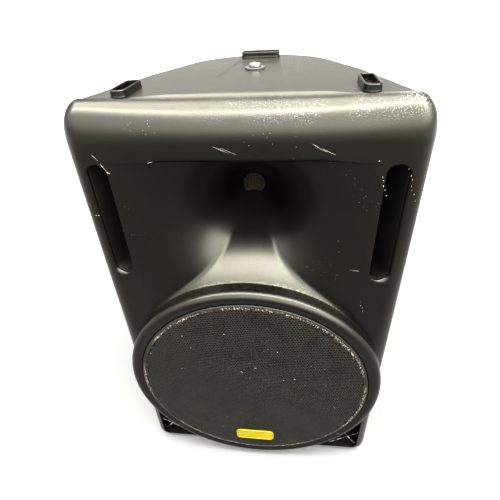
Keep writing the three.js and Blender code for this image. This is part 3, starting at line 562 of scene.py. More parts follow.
def ring_solid(name):
    """The woofer ring: an upright outer wall, a rounded crest and a flat inner land."""
    crest_middle = (RING_RADIUS - RING_CREST, RING_PROUD - RING_CREST)
    edge = 1.6
    profile = [(RING_OPENING, -WALL), (RING_RADIUS + 1.5, -WALL), (RING_RADIUS + 0.4, 1)]
    profile += arc(crest_middle, RING_CREST, 0, 90, 10)
    profile += [(RING_RADIUS - RING_CREST - 2, RING_PROUD - 0.2)]
    profile += [(RING_OPENING + 3, RING_PROUD - edge)]
    profile += arc((RING_OPENING + edge, RING_PROUD - 2 * edge), edge, 90, 180, 4)
    return turned_ring(name, facing_front(0, WOOFER_Z), profile, ROUND_STEPS)


def pocket_pairs(extra):
    """The open pocket between the ring and a lower corner, grown by extra."""
    radius = POCKET_RADIUS - extra
    upper_x = math.sqrt(radius ** 2 - (POCKET_TOP + extra - WOOFER_Z) ** 2)
    lower_z = WOOFER_Z - math.sqrt(radius ** 2 - (POCKET_INNER_X - extra) ** 2)
    start = math.atan2(POCKET_TOP + extra - WOOFER_Z, upper_x)
    end = math.atan2(lower_z - WOOFER_Z, POCKET_INNER_X - extra)
    low, outer, high = POCKET_BOTTOM - extra, POCKET_OUTER_X + extra, POCKET_TOP + extra
    corner = POCKET_CORNER + extra
    pairs = [(POCKET_INNER_X - extra, low)]
    pairs += arc((outer - corner, low + corner), corner, -90, 0, 8)
    pairs.append((outer, high))
    steps = 24
    for i in range(steps + 1):
        angle = start + (end - start) * i / steps
        pairs.append((radius * math.cos(angle), WOOFER_Z + radius * math.sin(angle)))
    return pairs


def prism(name, pairs, depth_from, depth_to, side):
    """An outline of (x, z) pairs drawn out along the depth, mirrored for side -1."""
    return loft(name, [[(side * x, depth, z) for x, z in pairs] for depth in (depth_from, depth_to)])


def rib(name, start, end, side):
    """One thin rib across a corner pocket, as a prism along the depth."""
    direction = (Vector(end) - Vector(start)).normalized()
    across = Vector((-direction.y, direction.x)) * (RIB / 2)
    pairs = [
        tuple(Vector(start) + across), tuple(Vector(start) - across),
        tuple(Vector(end) - across), tuple(Vector(end) + across),
    ]
    return prism(name, pairs, RIB_SINK, POCKET_DEPTH + 1, side)


def pocket_ribs(name, side):
    """Four straight ribs and a bowed one, cut to the pocket."""
    ends = [
        ((POCKET_OUTER_X + 2, POCKET_BOTTOM - 2), (148, 88)),
        ((POCKET_OUTER_X + 2, 58), (142, POCKET_BOTTOM - 2)),
        ((POCKET_OUTER_X + 2, 100), (166, 58)),
        ((128, POCKET_BOTTOM - 2), (118, 66)),
    ]
    ribs = rib(name, *ends[0], side)
    others = [rib(f"{name}_{i}", *pair, side) for i, pair in enumerate(ends[1:])]
    inner, outer = POCKET_RADIUS + 18, POCKET_RADIUS + 18 + RIB
    angles = [-1.1 + 0.68 * i / 20 for i in range(21)]
    bow = [(inner * math.cos(a), WOOFER_Z + inner * math.sin(a)) for a in angles]
    bow += [(outer * math.cos(a), WOOFER_Z + outer * math.sin(a)) for a in reversed(angles)]
    others.append(prism(f"{name}_bow", bow, RIB_SINK, POCKET_DEPTH + 1, side))
    join(ribs, *others)
    return keep_inside(ribs, prism(f"{name}_room", pocket_pairs(0.5), 1, POCKET_DEPTH + 1, side))


def inside_region(name):
    """Where walls behind the front skin may be: inside the skin or the rear shell."""
    region = cabinet_solid(name, 2)
    keep_inside(region, seam_region(f"{name}_seam", True, -GAP / 2))
    return join(region, cabinet_solid(f"{name}_rear", SHELL_STEP + WALL + 2 * GAP))


def make_front_shell():
    """The front half: skin, horn, throat, port slots, woofer ring and corner pockets."""
    shell = cabinet_solid("front_shell_skin", 0)
    cut(shell, cabinet_solid("hollow", WALL))
    keep_inside(shell, seam_region("seam", True, -GAP / 2))
    walls = []
    for side in (-1, 1):
        wall = prism("pocket_wall", pocket_pairs(POCKET_WALL), 1, POCKET_DEPTH + POCKET_WALL, side)
        walls.append(keep_inside(wall, inside_region("room")))
    throat = facing_front(0, THROAT_Z, HORN_DEPTH)
    woofer = facing_front(0, WOOFER_Z)
    boss = turned("boss", throat, [(40, 3), (40, -5)])
    join(shell, *walls, horn_block("horn_wall", 1, WALL), boss)
    cut(
        shell,
        horn_block("horn_air", -50, -GAP, LIP_RADIUS),
        turned("throat", throat, [(THROAT_RADIUS, 20), (THROAT_RADIUS, -20)]),
        turned("woofer", woofer, [(BAFFLE_OPENING, 40), (BAFFLE_OPENING, -60)], ROUND_STEPS),
        slot_cutter("slot_left", -1),
        slot_cutter("slot_right", 1),
        *[prism("pocket", pocket_pairs(0), -40, POCKET_DEPTH, side) for side in (-1, 1)],
    )
    ribs = []
    for side in (-1, 1):
        ribs.append(keep_inside(pocket_ribs(f"ribs_{side}", side), inside_region("room")))
    join(shell, ring_solid("ring"), *ribs)
    return own(shade(shell), "cabinet_plastic", "front_shell")


# ---------------------------------------------------------------- rear shell

def bay_box(name, margin, y0, y1):
    """A box as wide and high as the amplifier panel, and margin more all round."""
    x = AMP_HALF_WIDTH + margin
    bottom, top = AMP_BOTTOM - margin, AMP_TOP + margin
    return loft(name, [[(-x, y0, z), (x, y0, z), (x, y1, z), (-x, y1, z)] for z in (bottom, top)])


def side_place(side):
    """The middle of the hand hold in a side wall, looking out along the wall's normal."""
    nx, ny = SIDE_NORMAL
    origin = (side * side_x(HANDLE_DEPTH), HANDLE_DEPTH, HANDLE_Z)
    return Place(origin, (-side * ny, nx, 0), (0, 0, 1), (side * nx, ny, 0))


def hand_hole(side):
    """The opening of a hand hold in a side wall."""
    levels = [(1, -20), (1, 20)]
    radius = HANDLE_HEIGHT / 2
    loops = rounded_loops(side_place(side), HANDLE_LENGTH, HANDLE_HEIGHT, radius, levels, 12)
    return loft("hand_hole", loops)


def rigging_recess():
    """The shallow trapezium round the rigging point, with gently sloping edges."""
    trapezium = [(-46, -65), (46, -65), (32, 71), (-32, 71)]
    levels = [(0.90, -1.5), (0.93, -1.4), (0.98, -0.75), (1.03, -0.1), (1.06, 0.02), (1.06, 20)]
    loops = []
    for size, rise in levels:
        z = TOP - SHELL_STEP + rise
        loops.append([(x * size, RIGGING_DEPTH + y * size, z) for x, y in trapezium])
    return loft("recess", loops)


def make_rear_shell():
    """The rear half, open for the panel, the hand holds, the bolt and the pole socket."""
    shell = cabinet_solid("rear_shell_skin", SHELL_STEP)
    bay_frame = bay_box("bay_frame", BAY_FRAME, AMP_FACE - 8, REAR + 50)
    keep_inside(bay_frame, cabinet_solid("bay_room", SHELL_STEP))
    cut(shell, cabinet_solid("hollow", SHELL_STEP + WALL))
    join(shell, bay_frame)
    plate = AMP_FACE - AMP_THICKNESS - GAP
    cut(
        shell,
        bay_box("bay", BAY_PLAY, plate, REAR + 90),
        bay_box("way_in", -PANEL_LEDGE, plate - 40, REAR),
        hand_hole(-1),
        hand_hole(1),
        rigging_recess(),
        turned("rigging_hole", facing_up(0, RIGGING_DEPTH, 0), [(9, TOP - 30), (9, TOP + 20)]),
        turned("pole_hole", facing_up(0, POLE_DEPTH, 0), [(24, -10), (24, BOTTOM + 30)]),
    )
    keep_inside(shell, seam_region("seam", False, GAP / 2))
    return own(shade(shell), "cabinet_plastic", "rear_shell")


make_front_shell()
make_rear_shell()


# ---------------------------------------------------------------- grille

def grille_height(radius):
    """How far the domed grille stands out in front of the flat face."""
    return RING_PROUD + GRILLE_DOME * (1 - (radius / GRILLE_RADIUS) ** 2)


def regular_points(cx, cy, reach, count, start=0):
    """Points round a centre at equal angles, the first at start degrees."""
    angles = [math.radians(start + 360 / count * k) for k in range(count)]
    return [(cx + reach * math.cos(a), cy + reach * math.sin(a)) for a in angles]


def grille_mesh():
    """The points and faces of a domed sheet with a staggered pattern of round holes."""
    pitch = 4.3
    hole = 1.45
    sheet = 1.1
    border = GRILLE_RADIUS - 4.5
    row_step = pitch * math.sqrt(3) / 2
    corner_reach = pitch / math.sqrt(3)
    points, faces, shared = [], [], {}
    place = facing_front(0, WOOFER_Z)

    def vertex(u, v, sink):
        key = (round(u, 2), round(v, 2), sink)
        if key not in shared:
            shared[key] = len(points)
            points.append(place([(u, v)], grille_height(math.hypot(u, v)) - sink)[0])
        return shared[key]

    rows = int(border / row_step) + 1
    columns = int(border / pitch) + 2
    for j in range(-rows, rows + 1):
        for i in range(-columns, columns + 1):
            cx = pitch * (i + 0.5 * (j % 2))
            cy = row_step * j
            if math.hypot(cx, cy) + corner_reach > border:
                continue
            rim = regular_points(cx, cy, hole, 12)
            corners = regular_points(cx, cy, corner_reach, 6, 30)
            outer = [vertex(*c, 0) for c in corners]
            upper = [vertex(*p, 0) for p in rim]
            lower = [vertex(*p, sheet) for p in rim]
            for k in range(6):
                m = (k + 1) % 6
                a, b, c = upper[2 * k + 1], upper[(2 * k + 2) % 12], upper[(2 * k + 3) % 12]
                faces.append((outer[k], outer[m], c, b, a))
            for k in range(12):
                n = (k + 1) % 12
                faces.append((upper[k], upper[n], lower[n], lower[k]))
    return points, faces


def grille_sheet():
    sheet = outward(new_object("grille_sheet", *grille_mesh()), closed=False)
    for face in sheet.data.polygons:
        face.use_smooth = False
    return sheet


def grille_rim():
    """The plain border of the grille, rolled over into the ring."""
    inner = GRILLE_RADIUS - 6.6
    outer = GRILLE_RADIUS - 3
    skirt = GRILLE_RADIUS - 1.2
    roll = 1.6
    top = grille_height(inner)
    profile = [(inner, top - 1.1), (inner, top + 0.05), (outer, grille_height(outer) + 0.05)]
    profile += arc((GRILLE_RADIUS - roll, RING_PROUD - roll - 0.2), roll, 70, 0, 6)
    profile += [(GRILLE_RADIUS, 8), (skirt, 8), (skirt, RING_PROUD - 3)]
    return turned_ring("grille_rim", facing_front(0, WOOFER_Z), profile, ROUND_STEPS)


own(grille_sheet(), "grille_steel", "woofer_grille")
own(shade(grille_rim()), "grille_steel")


# ---------------------------------------------------------------- badge

def make_badge():
    """A plain plate with a raised rim."""
    low, high = extent("grille_badge")
    place = facing_front(0, (low.z + high.z) / 2, high.y - FACE_Y)
    thick = high.y - low.y
    levels = [
        (0, 0), (0, thick - 0.7), (-0.25, thick - 0.2), (-0.8, thick),
        (-2.2, thick), (-2.6, thick - 0.5), (-3.2, thick - 0.6),
    ]
    return loft("badge_plate", rounded_loops(place, high.x - low.x, high.z - low.z, 8, levels))


own(shade(make_badge()), "badge_yellow", "grille_badge")


# ---------------------------------------------------------------- wear on the front

def on_front(x, z, sink=0.0):
    """A point on the face or on the horn's surface, or sunk below it."""
    inside_mouth = abs(x) < HORN_HALF_WIDTH and z < HORN_LIP_Z
    depth = max(0, horn_depth(x, z)) if inside_mouth else 0
    return (x, depth - 0.05 + sink, z)


def add_sliver(points, faces, start, end, width):
    """A thin flake of rubbed plastic from start to end, both (x, z)."""
    along = Vector(end) - Vector(start)
    across = Vector((-along.y, along.x)).normalized() * width / 2
    stations = (0, 0.15, 0.4, 0.7, 0.9, 1)
    fullness = (0.1, 0.7, 1, 0.6, 0.8, 0.1)
    sides = []
    for sign in (1, -1):
        side = []
        for t, full in zip(stations, fullness):
            spot = Vector(start) + along * t + across * (sign * full * RANDOM.uniform(0.6, 1.2))
            side.append(spot)
        sides.append(side)
    loop = sides[0] + sides[1][::-1]
    first, count = len(points), len(loop)
    points += [on_front(p.x, p.y) for p in loop] + [on_front(p.x, p.y, 0.15) for p in loop]
    faces.append([first + i for i in range(count)])
    faces.append([first + count + i for i in reversed(range(count))])
    for i in range(count):
        j = (i + 1) % count
        faces.append([first + i, first + count + i, first + count + j, first + j])


def make_scuffs():
    """The scratches and chains of chips on the face and in the horn."""
    points, faces = [], []
    scratches = [
        ((-177, 627), (-171, 619), 0.9), ((-170, 616), (-164, 606), 1.1),
        ((-165, 605), (-159, 603), 2.4),
        ((-31, 636), (-17, 630), 0.5), ((-22, 634), (-4, 626), 0.6), ((-26, 633), (-12, 628), 0.4),
        ((80, 638), (92, 632), 0.5), ((88, 634), (107, 625), 0.8), ((84, 635), (98, 628), 0.4),
        ((104, 493), (118, 495), 0.5), ((114, 497), (132, 498), 0.6),
        ((-111, 616), (-104, 618), 0.7), ((60, 668), (64, 667), 0.8),
    ]
    for start, end, width in scratches:
        add_sliver(points, faces, start, end, 0.7 * width)
    chains = [((155, 619), (168, 577), 8), ((188, 608), (201, 571), 7), ((149, 464), (164, 390), 11)]
    for (x0, z0), (x1, z1), count in chains:
        for i in range(count):
            t = (i + RANDOM.uniform(-0.3, 0.3)) / (count - 1)
            x = x0 + (x1 - x0) * t + RANDOM.uniform(-1.2, 1.2)
            z = z0 + (z1 - z0) * t
            length, lean = RANDOM.uniform(0.8, 2.2), RANDOM.uniform(-0.6, 0.6)
            add_sliver(points, faces, (x, z), (x + lean, z - length), RANDOM.uniform(0.6, 1.3))
    return outward(new_object("face_scuffs", points, faces))


face_scuffs = own(make_scuffs(), "cabinet_plastic")


# ---------------------------------------------------------------- top: rings and rigging point

def make_stacking_ring(node):
    """A hollow oval wall with a rounded rim, standing where the frame's ring is."""
    low, high = extent(node)
    x, depth, _ = middle(node)
    place = facing_up(x, depth, low.z)
    wall = 3
    rim = wall / 2
    levels = [(0.6, 0), (0.2, 1.2), (0, 3)]
    levels += arc((-rim, high.z - low.z - rim), rim, 0, 180, 8)
    levels += [(-wall, 3), (-wall - 0.6, 0)]
    loops = rounded_loops(place, high.x - low.x, high.y - low.y, 9, levels)
    own(shade(loft(f"{node}_wall", loops, ring=True)), "gloss_black", node)


for ring_side in ("left", "right", "rear"):
    make_stacking_ring(f"stacking_ring_{ring_side}")


def make_rigging():
    """The threaded insert in the top and the bolt in it."""
    place = facing_up(0, RIGGING_DEPTH, 0)
    top = extent("rigging_insert")[1].z
    insert = turned_ring("rigging_flange", place, [
        (5.2, top - 26), (8.7, top - 26), (8.7, top - 2.7), (15, top - 2.7),
        (15, top - 0.6), (14.4, top), (6.2, top), (5.2, top - 1),
    ])
    own(shade(insert), "black_steel", "rigging_insert")
    head = top + GAP
    bolt = turned("rigging_screw", place, [
        (4.9, head - 20), (4.9, head), (7.9, head), (8.5, head + 0.6), (8.5, head + 3.2),
        (8.0, head + 3.9), (6.6, head + 4.6), (4.4, head + 5.0), (3.4, head + 5.1),
        (3.2, head + 4.6), (3.0, head + 2.2), (0, head + 2.0),
    ])
    own(shade(bolt), "bright_steel", "rigging_bolt")


make_rigging()


# ---------------------------------------------------------------- hand holds

def make_handle(name, side):
    """The cup of a hand hold: a rolled flange outside and a rounded well."""
    levels = [
        (0.4, -HANDLE_SINK), (0.4, 0.3 - SHELL_STEP), (7, 0.3 - SHELL_STEP), (7, 0.8),
        (6.6, 1.6), (5.6, 2.2), (4, 2.4), (2, 2.3), (0, 1.9), (-1.6, 1.0), (-2.4, -0.6),
        (-2.6, -3), (-2.6, -HANDLE_SINK + 14), (-3.6, -HANDLE_SINK + 8),
        (-6, -HANDLE_SINK + 4.5), (-10, -HANDLE_SINK + 3.2), (-14, -HANDLE_SINK + 3),
    ]
    radius = HANDLE_HEIGHT / 2
    loops = rounded_loops(side_place(side), HANDLE_LENGTH, HANDLE_HEIGHT, radius, levels, 14)
    return loft(f"hand_hold_{name}", loops)


for handle_name, handle_side in (("left", -1), ("right", 1)):
    own(shade(make_handle(handle_name, handle_side)), "dark_plastic", f"handle_cup_{handle_name}")


# ---------------------------------------------------------------- underside

def make_foot(name):
    """A rubber foot with a sunk middle for its screw."""
    low, high = extent(name)
    x, depth, _ = middle(name)
    place = facing_down(x, depth, high.z)
    reach = high.z - low.z
    foot = turned(f"{name}_pad", place, [
        (12.2, 0), (13, 0.6), (13, reach - 1.6), (12.5, reach - 0.5), (11.4, reach),
        (7.2, reach), (6.6, reach - 1.2), (3.2, reach - 1.4), (3.0, reach - 2.6), (0, reach - 2.6),
    ])
    own(shade(foot), "rubber", name)


for foot_name in ("foot_front_left", "foot_front_right", "foot_rear_left", "foot_rear_right"):
    make_foot(foot_name)


def make_pole_socket():
    """The flanged cup that a stand pole goes into."""
    place = facing_up(0, POLE_DEPTH, 0)
    under = BOTTOM + SHELL_STEP - GAP
    socket = turned("pole_cup", place, [
        (0, 88), (17.2, 88), (17.8, 87), (17.8, 5), (18.4, 3.2), (19.6, 2.2), (21, 2),
        (40, 2), (43, 2.5), (44, 3.6), (44, under), (23.4, under), (23.4, 91), (22.4, 92), (0, 92),
    ])
    own(shade(socket), "dark_plastic", "pole_socket")


make_pole_socket()


# ---------------------------------------------------------------- amplifier panel

PANEL_FRONT = AMP_FACE + GAP
KNOBS = ("level_knob", "bass_knob", "treble_knob")
KNOB_RADIUS = 10
KNOB_REACH = 13.9
KNOB_RIDGES = 20
DIAL_RADIUS = 12


def on_panel(node, dx=0.0, dz=0.0, out=0.0):
    """A place on the panel, over the middle of a node or beside it."""
    x, _, z = middle(node)
    return facing_back(x + dx, z + dz, PANEL_FRONT + out)


def knob_axis(name):
    """The x and z of the axis: one radius above the lowest point."""
    return middle(name)[0], extent(name)[0].z + KNOB_RADIUS


def knob_loop(place, radius, height, ridge):
    """One loop of a knob, wavy where it has ridges."""
    steps = KNOB_RIDGES * 6
    pairs = []
    for i in range(steps):
        angle = 2 * math.pi * i / steps
        reach = radius + ridge * math.cos(KNOB_RIDGES * angle)
        pairs.append((reach * math.cos(angle), reach * math.sin(angle)))
    return place(pairs, height)


def make_knob(name):
    """A knob with a skirt and a ribbed grip. Returns its pointer, which is printed white."""
    x, z = knob_axis(name)
    place = facing_back(x, z, PANEL_FRONT)
    levels = [
        (9.6, 0, 0), (10, 0.4, 0), (10, 2.2, 0), (9.5, 2.9, 0), (8.2, 3.2, 0), (7.9, 3.8, 0.1),
        (7.7, 4.6, 0.35), (7.3, 12.2, 0.35), (7.0, 13.1, 0.2), (6.5, 13.7, 0.05),
        (5.8, 14.0, 0), (3, 13.8, 0), (0.05, 13.7, 0),
    ]
    body = loft(f"{name}_cap", [knob_loop(place, r, h, ridge) for r, h, ridge in levels])
    own(shade(body), "dark_plastic", name, body=name)
    bar = facing_back(x, z + 4, PANEL_FRONT + KNOB_REACH)
    loops = rounded_loops(bar, 1.3, 5.6, 0.6, [(0, -1), (0, 0.3), (-0.2, 0.45)], 4)
    return own(shade(loft(f"{name}_pointer", loops)), "dark_plastic", body=name)


def make_dial_marks():
    """Short printed ticks round each knob, the longest at the ends and in the middle."""
    points, faces = [], []
    ticks = 11
    for knob_name in KNOBS:
        x, z = knob_axis(knob_name)
        for i in range(ticks):
            angle = math.radians(-150 + 300 * i / (ticks - 1))
            length = 2.6 if i in (0, ticks // 2, ticks - 1) else 1.5
            start = len(points)
            for out, across in ((0, -0.25), (0, 0.25), (length, 0.25), (length, -0.25)):
                reach = DIAL_RADIUS + out
                u = reach * math.sin(angle) + across * math.cos(angle)
                v = reach * math.cos(angle) - across * math.sin(angle)
                points.append((x + u, PANEL_FRONT - GAP + 0.05, z + v))
            points += [(px, py + 0.12, pz) for px, py, pz in points[start:]]
            s = start
            faces += [(s + 4, s + 5, s + 6, s + 7), (s + 3, s + 2, s + 1, s)]
            faces += [(s + k, s + (k + 1) % 4, s + 4 + (k + 1) % 4, s + 4 + k) for k in range(4)]
    return outward(new_object("dial_marks", points, faces))


def make_screw(name, place, radius, height):
    """A pan head with a cross recess."""
    head = turned(name, place, [
        (radius * 0.9, 0), (radius, height * 0.15), (radius * 0.96, height * 0.6),
        (radius * 0.75, height * 0.92), (radius * 0.4, height), (0.02, height),
    ], steps=32)
    levels = [(0, height * 0.45), (0, height + 2)]
    slots = []
    for across, up in ((1.3, 0.24), (0.24, 1.3)):
        loops = rounded_loops(place, across * radius, up * radius, 0.1 * radius, levels, 2)
        slots.append(loft("recess", loops))
    cut(head, *slots)
    return own(shade(head), "bright_steel")


def make_socket(name, hole):
    """A socket's shell with a round well of the given radius, and its two screws."""
    place = on_panel(name)

    def round_loop(radius, height):
        return place(outline(2 * radius, 2 * radius, radius, corner_steps=11), height)

    rim = [(2.2, 2.2), (2.2, 3.6), (1.8, 4), (0.3, 4), (0, 3.7)]
    loops = [round_loop(hole + 0.7, h) for h in (-9, 0)]
    loops += rounded_loops(place, 26, 31, 3, [(0, 0), (0, 1.7), (-0.4, 2.2)], 11)
    loops += [round_loop(hole + wider, h) for wider, h in rim]
    loops += [round_loop(radius, -7.5) for radius in (hole, 0.05)]
    own(shade(loft(f"{name}_shell", loops)), "gloss_black", name)
    for number, sx in ((1, -1), (2, 1)):
        screw = on_panel(name, sx * 10.4, -sx * 12.8, 2.2)
        make_screw(f"{name}_screw_{number}", screw, 1.9, 1.1)


def make_socket_inserts():
    """Contacts: holes in the input's insulator, pins in the output's well."""
    microphone = "mic_input_socket"
    profile = [(8.4, -7.2), (8.4, 1.6), (8.0, 2.0), (0.02, 2.0)]
    insert = turned("mic_insert", on_panel(microphone), profile, 48)
    pin_profile = [(1.1, -7.4), (1.1, 0.2), (0.8, 0.8), (0.3, 1.0), (0.02, 1.0)]
    holes, pins = [], []
    for i in range(3):
        angle = 2 * math.pi * i / 3
        dx, dz = 4.4 * math.sin(angle), 4.4 * math.cos(angle)
        holes.append(turned("hole", on_panel(microphone, dx, -dz), [(1.5, -4), (1.5, 6)], 20))
        pin_place = on_panel("link_output_socket", dx, dz)
        pins.append(turned(f"link_pin_{i + 1}", pin_place, pin_profile, 20))
    cut(insert, *holes)
    own(shade(insert), "dark_plastic")
    for pin in pins:
        own(shade(pin), "bright_steel")
    nut = turned_ring("jack_nut", on_panel("line_input_socket"), [
        (3.4, 4.05), (6.6, 4.05), (6.9, 4.4), (6.9, 5.6), (6.4, 6.1), (4.0, 6.1), (3.4, 5.6),
    ], 48)
    own(shade(nut), "bright_steel")


def make_mains_inlet():
    """The inlet's frame and well, its three blades and its two screws."""
    inlet = "mains_inlet"
    loops = rounded_loops(on_panel(inlet), 50, 32, 3, [(0, 0), (0, 3.4), (-0.5, 4)])
    well = [(1.8, 4), (1.5, 3.2), (0, 3.0), (0, 1.2)]
    loops += rounded_loops(on_panel(inlet, 0, 2), 24, 17, 4, well)
    own(shade(loft("inlet_frame", loops)), "dark_plastic", inlet)
    levels = [(0, 1.1), (0, 3.2), (-0.3, 3.6)]
    for i, (dx, dz) in enumerate(((-6.5, 1), (6.5, 1), (0, 5))):
        blade = rounded_loops(on_panel(inlet, dx, dz), 2, 4.4, 0.4, levels, 3)
        own(shade(loft(f"inlet_blade_{i + 1}", blade)), "bright_steel")
    for side, sx in (("left", -1), ("right", 1)):
        make_screw(f"inlet_screw_{side}", on_panel(inlet, sx * 20, 0, 4), 3, 1.6)


def make_lamp(name, slot):
    """A lamp with a domed lens on a flat rim."""
    profile = [(3, 0), (3, 1.2), (2.6, 1.4)] + arc((0, 1.4), 2.2, 0, 88, 8)
    own(shade(turned(f"{name}_lens", on_panel(name), profile, 32)), slot, name)


def make_button(name):
    """A round push button with a dished cap."""
    low, high = extent(name)
    inner, reach = low.y - FACE_Y - PANEL_FRONT, high.y - FACE_Y - PANEL_FRONT
    button = turned("low_cut_cap", on_panel(name), [
        (4, inner), (4, reach - 0.8), (3.7, reach - 0.2),
        (3.2, reach), (1.6, reach - 0.25), (0.02, reach - 0.35),
    ], 40)
    own(shade(button), "gloss_black", name, body=name)


pointers = [make_knob(knob_name) for knob_name in KNOBS]
dial_marks = own(make_dial_marks(), "gloss_black")
make_socket("mic_input_socket", 9.6)
make_socket("link_output_socket", 8.4)
make_socket("line_input_socket", 3.3)
make_socket_inserts()
make_mains_inlet()
make_lamp("power_lamp", "lamp_green")
make_lamp("clip_lamp", "lamp_red")
make_button("low_cut_button")
for number in range(1, 7):
    screw_node = f"panel_screw_{number}"
    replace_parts(make_screw(f"panel_fixing_{number}", on_panel(screw_node), 4, 2.5), screw_node)


# ---------------------------------------------------------------- materials

class Nodes:
    """Helpers for building a tree of shader nodes."""

    def __init__(self, tree, coordinates):
        self.tree = tree
        self.where = self.add("ShaderNodeTexCoord").outputs[coordinates]

    def add(self, kind):
        return self.tree.nodes.new(kind)

    def link(self, output, socket):
        self.tree.links.new(output, socket)

    def stretched(self, scale):
        """The position scaled apart along each axis."""
        mapping = self.add("ShaderNodeMapping")
        mapping.inputs["Scale"].default_value = scale
        self.link(self.where, mapping.inputs["Vector"])
        return mapping.outputs["Vector"]

    def noise(self, scale, detail=3.0, roughness=0.5, vector=None):
        node = self.add("ShaderNodeTexNoise")
        node.inputs["Scale"].default_value = scale
        node.inputs["Detail"].default_value = detail
        node.inputs["Roughness"].default_value = roughness
        self.link(vector or self.where, node.inputs["Vector"])
        return node.outputs["Fac"]

    def cells(self, scale):
        """The distance to the nearest of many scattered points."""
        node = self.add("ShaderNodeTexVoronoi")
        node.inputs["Scale"].default_value = scale
        self.link(self.where, node.inputs["Vector"])
        return node.outputs["Distance"]

    def between(self, value, low, high, to_low=0.0, to_high=1.0):
        """Maps low to to_low and high to to_high, and stops there."""
        node = self.add("ShaderNodeMapRange")
        limits = {"From Min": low, "From Max": high, "To Min": to_low, "To Max": to_high}
        for name, number in limits.items():
            node.inputs[name].default_value = number
        self.link(value, node.inputs["Value"])
        return node.outputs["Result"]

    def times(self, a, b):
        return self.maths("MULTIPLY", a, b)

    def maths(self, operation, a, b):
        node = self.add("ShaderNodeMath")
        node.operation = operation
        for value, socket in ((a, node.inputs[0]), (b, node.inputs[1])):
            if isinstance(value, (int, float)):
                socket.default_value = value
            else:
                self.link(value, socket)
        return node.outputs[0]

    def mix(self, factor, a, b):
        node = self.add("ShaderNodeMix")
        node.data_type = "RGBA"
        self.link(factor, node.inputs["Factor"])
        for value, socket in ((a, node.inputs[6]), (b, node.inputs[7])):
            if isinstance(value, tuple):
                socket.default_value = (*value, 1)
            else:
                self.link(value, socket)
        return node.outputs[2]

    def along(self, axis):
        """One part of the position in metres, or of the direction in the world."""
        parts = self.add("ShaderNodeSeparateXYZ")
        self.link(self.where, parts.inputs["Vector"])
        return parts.outputs[axis]


